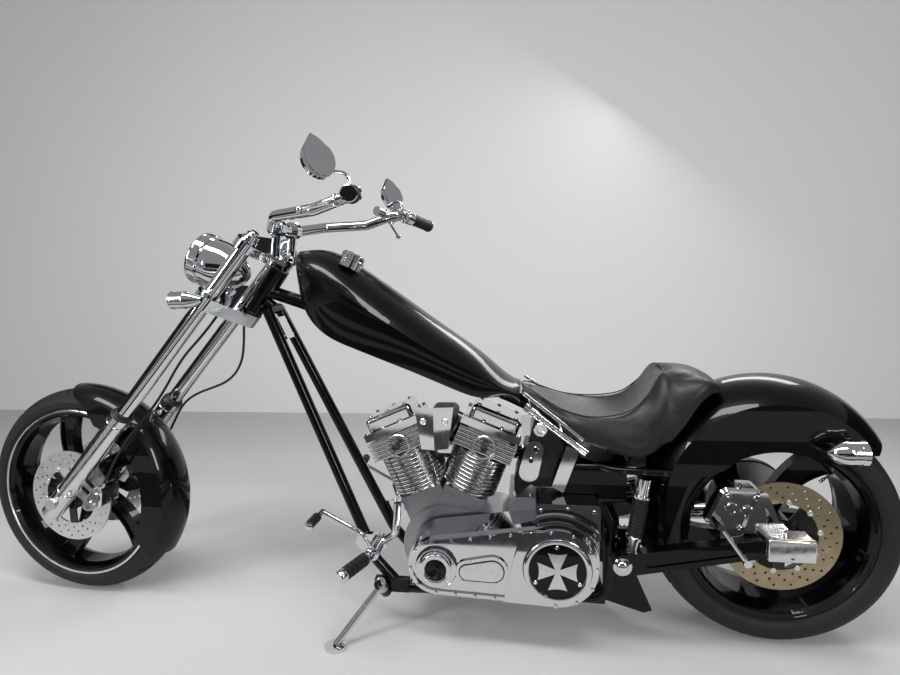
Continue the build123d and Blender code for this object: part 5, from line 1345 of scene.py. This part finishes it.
class CHOPPER_OT_pulley_trim(bpy.types.Operator):
    """Adds the belt's teeth, the pulleys' screws and dark discs in the pulley's windows, painted shade"""
    bl_idname = "chopper.pulley_trim"
    bl_label = "Pulley Trim"

    def execute(self, context):
        teeth = bmesh.new()
        x0, z0 = CLUTCH
        x1, z1 = 0.0, REAR_TYRE_RADIUS
        run = Vector((x1 - x0, 0, z1 - z0))
        lean = atan2(118 - 52, run.length)
        turn = atan2(run.z, run.x)
        for side in SIDES:
            angle = turn + side * (pi / 2 + lean)
            a = Vector((x0 + 51 * cos(angle), 0, z0 + 51 * sin(angle)))
            b = Vector((x1 + 117 * cos(angle), 0, z1 + 117 * sin(angle)))
            count = int((b - a).length / 14)
            lay = Matrix.Rotation(-atan2((b - a).z, (b - a).x), 4, "Y")
            for k in range(3, count - 2):
                at = a.lerp(b, k / count)
                add_block(teeth, (-3.2, 127, -3.0), (3.2, 150, 3.0), Matrix.Translation(at) @ lay)
        set_down("belt_teeth", teeth, MACHINE, "frame", "rubber")
        screws, shades = bmesh.new(), bmesh.new()
        for k in range(5):
            add_stud(screws, polar(30, 72 * k + 18, 139), (0, 1, 0), 6, 5, 6)
        # Dark discs in the pulley's windows: painted shade of the openings.
        for k in range(10):
            add_stud(shades, polar(76, 36 * k, 132.6), (0, 1, 0), 15, 0.8, 24, 1.0)
        set_down("pulley_screws", screws, REAR_WHEEL, "rear_wheel", "chrome")
        set_down("pulley_windows_painted_shade", shades, REAR_WHEEL, "rear_wheel", "powder")
        return {"FINISHED"}


class CHOPPER_OT_foot_trim(bpy.types.Operator):
    """Adds the rubber rings of the pegs and levers"""
    bl_idname = "chopper.foot_trim"
    bl_label = "Foot Controls Trim"

    def execute(self, context):
        rings, ends = bmesh.new(), bmesh.new()
        for side in SIDES:
            low, high = Vector((-1098, side * 186, 262)), Vector((-1150, side * 318, 262))
            run = (high - low).normalized()
            sleeve = [(0, 13.2)] + ribs(2, 17, 5, 14, 18.5, 2, 11, 13) + [(86, 13.2)]
            add_turned(rings, low + run * 34, run, sleeve, 32, ring=True)
            add_turned(ends, high - run * 21, run,
                       [(0, 13.2), (0, 18.5), (12, 18.5), (17, 15), (19, 8), (19.5, 0)], 32)
            add_band(ends, low + run * 28, run, 13.2, 18, 5, 32)
            toe, tip = Vector((-1236, side * 188, 384)), Vector((-1246, side * 270, 378))
            reach = (tip - toe).normalized()
            sleeve = [(0, 8.2)] + ribs(2, 12, 4, 9.5, 13, 1.5, 8, 9.5) + [(50, 8.2)]
            add_turned(rings, toe + reach * 28, reach, sleeve, 24, ring=True)
            add_turned(ends, toe + reach * 79, reach, [(0, 8.2), (0, 12), (2, 12), (4, 8), (4.5, 0)], 24)
            add_screw(ends, (-1098, side * 190, 262), (0, side, 0), (17, 3, 5, 14, 5.5), sides=28)
        set_down("peg_rubbers", rings, MACHINE, "frame", "rubber")
        set_down("peg_ends", ends, MACHINE, "frame", "chrome")
        return {"FINISHED"}


PIPES_Y = 222

class CHOPPER_OT_pipe_trim(bpy.types.Operator):
    """Adds the pipes' open tips and their clamps"""
    bl_idname = "chopper.pipe_trim"
    bl_label = "Pipe Trim"

    def execute(self, context):
        tips, bores = bmesh.new(), bmesh.new()
        for z in (236, 318):
            end = Vector((-60, PIPES_Y, z))
            add_turned(tips, end, (1, 0, 0), [
                (-1, 22.6), (-1, 23.8), (3, 23.8), (4, 22.8), (4, 20.2), (0.5, 19.6), (0.3, 22)], 40,
                ring=True)
            # A dark disc just inside each open tip: painted shade of the pipe's bore.
            add_stud(bores, end - Vector((0.2, 0, 0)), (1, 0, 0), 20.4, 0.8, 36, 1.0)
            for x in (-330, -180):
                rise = 4 if z > 300 and x < -300 else 0
                add_band(tips, (x, PIPES_Y, z + rise), (1, 0, 0), 22.4, 25.5, 12, 40)
                add_stud(tips, (x + 6, 196, z), (0, -1, 0), 5, 6, 6)
        set_down("pipe_tips", tips, MACHINE, "frame", "chrome")
        set_down("pipe_bores_painted_shade", bores, MACHINE, "frame", "powder")
        return {"FINISHED"}


# x and z of the coil plate's corners
COIL_PLATE = ((-640, 632), (-604, 632), (-560, 560), (-640, 458), (-684, 458))


class CHOPPER_OT_frame_trim(bpy.types.Operator):
    """Adds the coil and its covers, the carburettor between the heads and the engine mounts' screws"""
    bl_idname = "chopper.frame_trim"
    bl_label = "Frame Trim"

    def execute(self, context):
        bright, shades = bmesh.new(), bmesh.new()
        add_hull(shades, [(x, z, 2) for x, z in COIL_PLATE], -113.4, -102.6, 12)
        add_hull(shades, [(-640, 590, 12), (-580, 590, 12), (-640, 452, 12), (-580, 452, 12)], -103, 40, 16)
        add_hull(shades, [(-690, 446, 10), (-662, 536, 10), (-640, 452, 12), (-690, 412, 10)], -60, 30, 16)
        add_soft_block(shades, (-424, -62, 486), (-330, 62, 556), 6)
        add_hull(bright, [(-641, 552, 25), (-657, 487, 27)], -119.5, -113, 40)
        add_screw(bright, (-624, -113, 610), (0, -1, 0), (19, 10, 12, 17), (11, 7, 9), 32)
        for x, z, radius in ((-638, 553, 6.5), (-651, 521, 6.5)):
            add_stud(shades, (x, -119.2, z), (0, -1, 0), radius, 0.9, 24, 1.0)
            add_band(bright, (x, -119.4, z), (0, -1, 0), radius - 0.2, radius + 2.2, 2.2, 28)
        add_hull(bright, [(-553, 566, 3), (-525, 553, 3), (-566, 441, 3), (-592, 454, 3)], -134, -126, 12)
        add_bar(bright, (-671, -114, 667), (-506, -128, 543), 3.2)
        set_down("coil_covers", bright, MACHINE, "frame", "chrome")
        set_down("coil_pack", shades, MACHINE, "frame", "powder")
        intake = bmesh.new()
        add_hull(intake, [(-910, 566, 22), (-932, 622, 18), (-888, 622, 18)], -58, 56, 24)
        set_down("carburettor", intake, MACHINE, "frame", "rubber")
        mounts = bmesh.new()
        for side in SIDES:
            for x in (-1000, -820, -640):
                add_screw(mounts, (x, side * 105, 134), (0, 0, 1), (8, 5, 6, 7), sides=6)
            add_screw(mounts, (-420, side * 113, 300), (0, side, 0), (9, 6, 7, 8), sides=18)
        for x in (-956, -892):
            add_screw(mounts, (x, -96, 622), (0, -1, 0), (9, 3, 4.4, 7.6), (4, 2.6, 3.6), 20)
        set_down("mount_screws", mounts, MACHINE, "frame", "chrome")
        return {"FINISHED"}


# Brake hoses: points along the fork, from the lower tree to a caliper: x, out from the middle, up the legs
HOSE_DIAMETER = 8.0
HOSE_ROUTES = {
    "left_brake_hose": (-1, (
        (30, 62, 833.6), (29, 59, 776), (24, 54, 712), (17, 53, 648), (22, 57, 584), (36, 66, 520),
        (47, 80, 458), (50, 94, 400), (52, 104, 340), (58, 109, 284), (66, 112, 230), (76, 111, 182),
        (82, 110, 140))),
    "right_brake_hose": (1, (
        (30, 78, 831.6), (52, 79, 790), (92, 80, 740), (122, 82, 690), (132, 84, 640), (124, 86, 590),
        (98, 88, 540), (70, 93, 492), (49, 100, 442), (42, 106, 392), (50, 110, 336), (60, 112, 280),
        (70, 113, 226), (78, 112, 180), (82, 110, 140))),
}


class CHOPPER_OT_hoses(bpy.types.Operator):
    """Adds both front brake hoses and their end fittings"""
    bl_idname = "chopper.hoses"
    bl_label = "Brake Hoses"

    def execute(self, context):
        fittings = bmesh.new()
        for node, (side, route) in HOSE_ROUTES.items():
            points = [Vector((x, side * out, up)) for x, out, up in route]
            curve = smooth_curve(node + "_cord", points, FORK, HOSE_DIAMETER / 2, 10)
            curve.materials.append(finish("rubber"))
            hose = add_to_scene(bpy.data.objects.new(node + "_cord", curve))
            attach(hose, "fork")
            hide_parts(node)
            for end, beyond in ((points[0], points[1]), (points[-1], points[-2])):
                run = (beyond - end).normalized()
                add_turned(fittings, end - run, run,
                           [(0, 0), (0, 6.4), (10, 6.4), (12, 5.4), (18, 4.9), (18, 0)], 16)
        set_down("hose_fittings", fittings, FORK, "fork", "chrome")
        return {"FINISHED"}


# Stage
def plain(name, colour, seen):
    """A matt floor or backdrop that looks as pale as written to the camera and to mirrors."""
    material, tree, shader = new_material(name, Base_Color=colour, Roughness=0.9)[:3]
    path = add_node(tree, "ShaderNodeLightPath")
    direct = add_node(tree, "ShaderNodeMath", {"operation": "MAXIMUM"},
                      {0: (path, "Is Camera Ray"), 1: (path, "Is Glossy Ray")})
    either = add_node(tree, "ShaderNodeMath", {"operation": "MAXIMUM"},
                      {0: (direct, 0), 1: (path, "Is Transmission Ray")})
    share = add_node(tree, "ShaderNodeMath", {"operation": "MULTIPLY"}, {0: (either, 0)})
    share.inputs[1].default_value = seen
    glow = add_node(tree, "ShaderNodeEmission", {"Color": colour}, {"Strength": (share, 0)})
    both = add_node(tree, "ShaderNodeAddShader", None, {0: (shader, "BSDF"), 1: (glow, "Emission")})
    tree.links.new(both.outputs[0], tree.nodes["Material Output"].inputs["Surface"])
    return material


def slab(name, corners, material):
    """A flat stage surface from its corners in metres."""
    mesh = bpy.data.meshes.new(name)
    bm = bmesh.new()
    bm.faces.new([bm.verts.new(c) for c in corners])
    bm.to_mesh(mesh)
    bm.free()
    mesh.materials.append(material)
    obj = add_to_scene(bpy.data.objects.new(name, mesh))
    return obj


# near and far edge in metres of the dark strips that lie just over the floor beside the machine
FLOOR_STRIPS = ((-0.94, -0.58), (-1.45, -1.16), (-3.6, -1.9), (0.58, 0.94), (1.16, 1.45), (1.9, 3.0))

def strip_corners(near, far):
    """The corners in metres of one of those strips."""
    return [(x, y, 0.004) for x, y in ((-3.2, near), (3.2, near), (3.2, far), (-3.2, far))]

# name, place, target, size x, size y, power in watts
LAMPS = (
    ("lamp_over", (-0.3, -1.1, 3.3), (0, 0.1, 0.4), 3.4, 0.6, 90.0),
    ("lamp_front", (-3.0, -2.6, 1.9), (-0.5, 0, 0.6), 0.4, 1.8, 55.0),
    ("lamp_side", (2.6, -2.9, 1.8), (0.4, 0, 0.5), 0.4, 1.8, 50.0),
    ("lamp_back", (2.0, 2.3, 2.9), (0.2, -0.3, 0.6), 2.2, 0.6, 40.0),
)
# name, corners in metres of a dark card that only metal and glass show
CARDS = (
    ("card_back", ((-4.0, 3.1, 2.6), (1.6, 3.1, 2.6), (1.6, 3.1, 4.4), (-4.0, 3.1, 4.4))),
    ("card_near", ((-3.6, -4.6, 0.0), (3.6, -4.6, 0.0), (3.6, -4.6, 1.5), (-3.6, -4.6, 1.5))),
    ("card_left", ((-4.6, 3.0, 0.0), (-4.6, -3.6, 0.0), (-4.6, -3.6, 2.2), (-4.6, 3.0, 2.2))),
    ("card_right", ((4.6, -3.6, 0.0), (4.6, 3.0, 0.0), (4.6, 3.0, 2.2), (4.6, -3.6, 2.2))),
) + tuple((f"card_floor_{k}", strip_corners(near, far)) for k, (near, far) in enumerate(FLOOR_STRIPS))


def add_lamps():
    """Adds the lamps."""
    for name, place, target, size_x, size_y, power in LAMPS:
        light = bpy.data.lights.new(name, "AREA")
        light.shape = "RECTANGLE"
        light.size = size_x
        light.size_y = size_y
        light.energy = power
        obj = add_to_scene(bpy.data.objects.new(name, light))
        obj.location = place
        obj.rotation_euler = (Vector(target) - Vector(place)).to_track_quat("-Z", "Y").to_euler()


def add_world(strength):
    """Adds the plain light all round."""
    world = bpy.data.worlds.new("studio")
    world.use_nodes = True
    tree = world.node_tree
    tree.nodes["Background"].inputs["Color"].default_value = linear("#e8e9ea")
    tree.nodes["Background"].inputs["Strength"].default_value = strength
    bpy.context.scene.world = world


def add_camera():
    """Adds the camera where the photograph was taken from."""
    scene = bpy.context.scene
    data = bpy.data.cameras.new("camera")
    data.sensor_width = SENSOR_WIDTH
    data.lens = FOCAL_PIXELS / PHOTO_WIDTH * SENSOR_WIDTH
    data.clip_end = 100
    camera = add_to_scene(bpy.data.objects.new("camera", data))
    turn = (Matrix.Rotation(radians(CAMERA_YAW), 4, "Z") @ Matrix.Rotation(radians(90 - CAMERA_DOWN), 4, "X")
            @ Matrix.Rotation(radians(-CAMERA_ROLL), 4, "Z"))
    camera.matrix_world = Matrix.Translation(CAMERA_AT) @ turn
    scene.camera = camera


class CHOPPER_OT_stage(bpy.types.Operator):
    """Adds the floor, the backdrop, the lights and the camera"""
    bl_idname = "chopper.stage"
    bl_label = "Stage"

    def execute(self, context):
        settings = context.scene.chopper_stage
        floor = plain("floor_plain", settings.floor_colour, 0.12)
        slab("floor", [(-14, -14, 0), (14, -14, 0), (14, 3.2, 0), (-14, 3.2, 0)], floor)
        wall = plain("backdrop_plain", settings.wall_colour, 0.25)
        slab("backdrop", [(-14, 3.2, 0), (14, 3.2, 0), (14, 3.2, 9), (-14, 3.2, 9)], wall)
        dark = new_material("card_dark", Base_Color=linear("#1a1a1b"), Roughness=0.9)[0]
        for name, corners in CARDS:
            card = slab(name, corners, dark)
            card.visible_camera = False
            card.visible_shadow = False
            card.visible_diffuse = False
        add_lamps()
        add_world(settings.world_strength)
        add_camera()
        context.scene.view_settings.view_transform = "Standard"
        return {"FINISHED"}


class CHOPPER_OT_finishes(bpy.types.Operator):
    """Gives the machine's own parts their finishes"""
    bl_idname = "chopper.finishes"
    bl_label = "Finishes"

    def execute(self, context):
        dress_nodes()
        return {"FINISHED"}


OPERATORS = (
    CHOPPER_OT_finishes, CHOPPER_OT_tyres, CHOPPER_OT_wheel_trim, CHOPPER_OT_fork_trim, CHOPPER_OT_headlight,
    CHOPPER_OT_small_lamps, CHOPPER_OT_grips, CHOPPER_OT_bar_controls, CHOPPER_OT_tank_trim, CHOPPER_OT_seat,
    CHOPPER_OT_fins, CHOPPER_OT_heads, CHOPPER_OT_primary_trim, CHOPPER_OT_round_covers,
    CHOPPER_OT_case_trim, CHOPPER_OT_rear_trim, CHOPPER_OT_pulley_trim, CHOPPER_OT_foot_trim,
    CHOPPER_OT_pipe_trim, CHOPPER_OT_frame_trim, CHOPPER_OT_hoses, CHOPPER_OT_stage,
)


class CHOPPER_PT_panel(bpy.types.Panel):
    """Lists the steps that dress the machine"""
    bl_idname = "CHOPPER_PT_panel"
    bl_label = "Chopper"
    bl_space_type = "VIEW_3D"
    bl_region_type = "UI"
    bl_category = "Chopper"

    def draw(self, context):
        scene = context.scene
        for settings in (scene.chopper_finishes, scene.chopper_trim, scene.chopper_stage):
            for name in settings.__annotations__:
                self.layout.prop(settings, name)
        for operator in OPERATORS:
            self.layout.operator(operator.bl_idname)


GROUPS = {"chopper_finishes": ChopperFinishes, "chopper_trim": ChopperTrim, "chopper_stage": ChopperStage}
CLASSES = tuple(GROUPS.values()) + OPERATORS + (CHOPPER_PT_panel,)


def register():
    for cls in CLASSES:
        bpy.utils.register_class(cls)
    for name, group in GROUPS.items():
        setattr(bpy.types.Scene, name, PointerProperty(type=group))


def unregister():
    for name in GROUPS:
        delattr(bpy.types.Scene, name)
    for cls in reversed(CLASSES):
        bpy.utils.unregister_class(cls)


def main():
    register()
    for operator in OPERATORS:
        step = operator.bl_idname.split(".")[1]
        getattr(bpy.ops.chopper, step)()


if __name__ == "__main__":
    main()
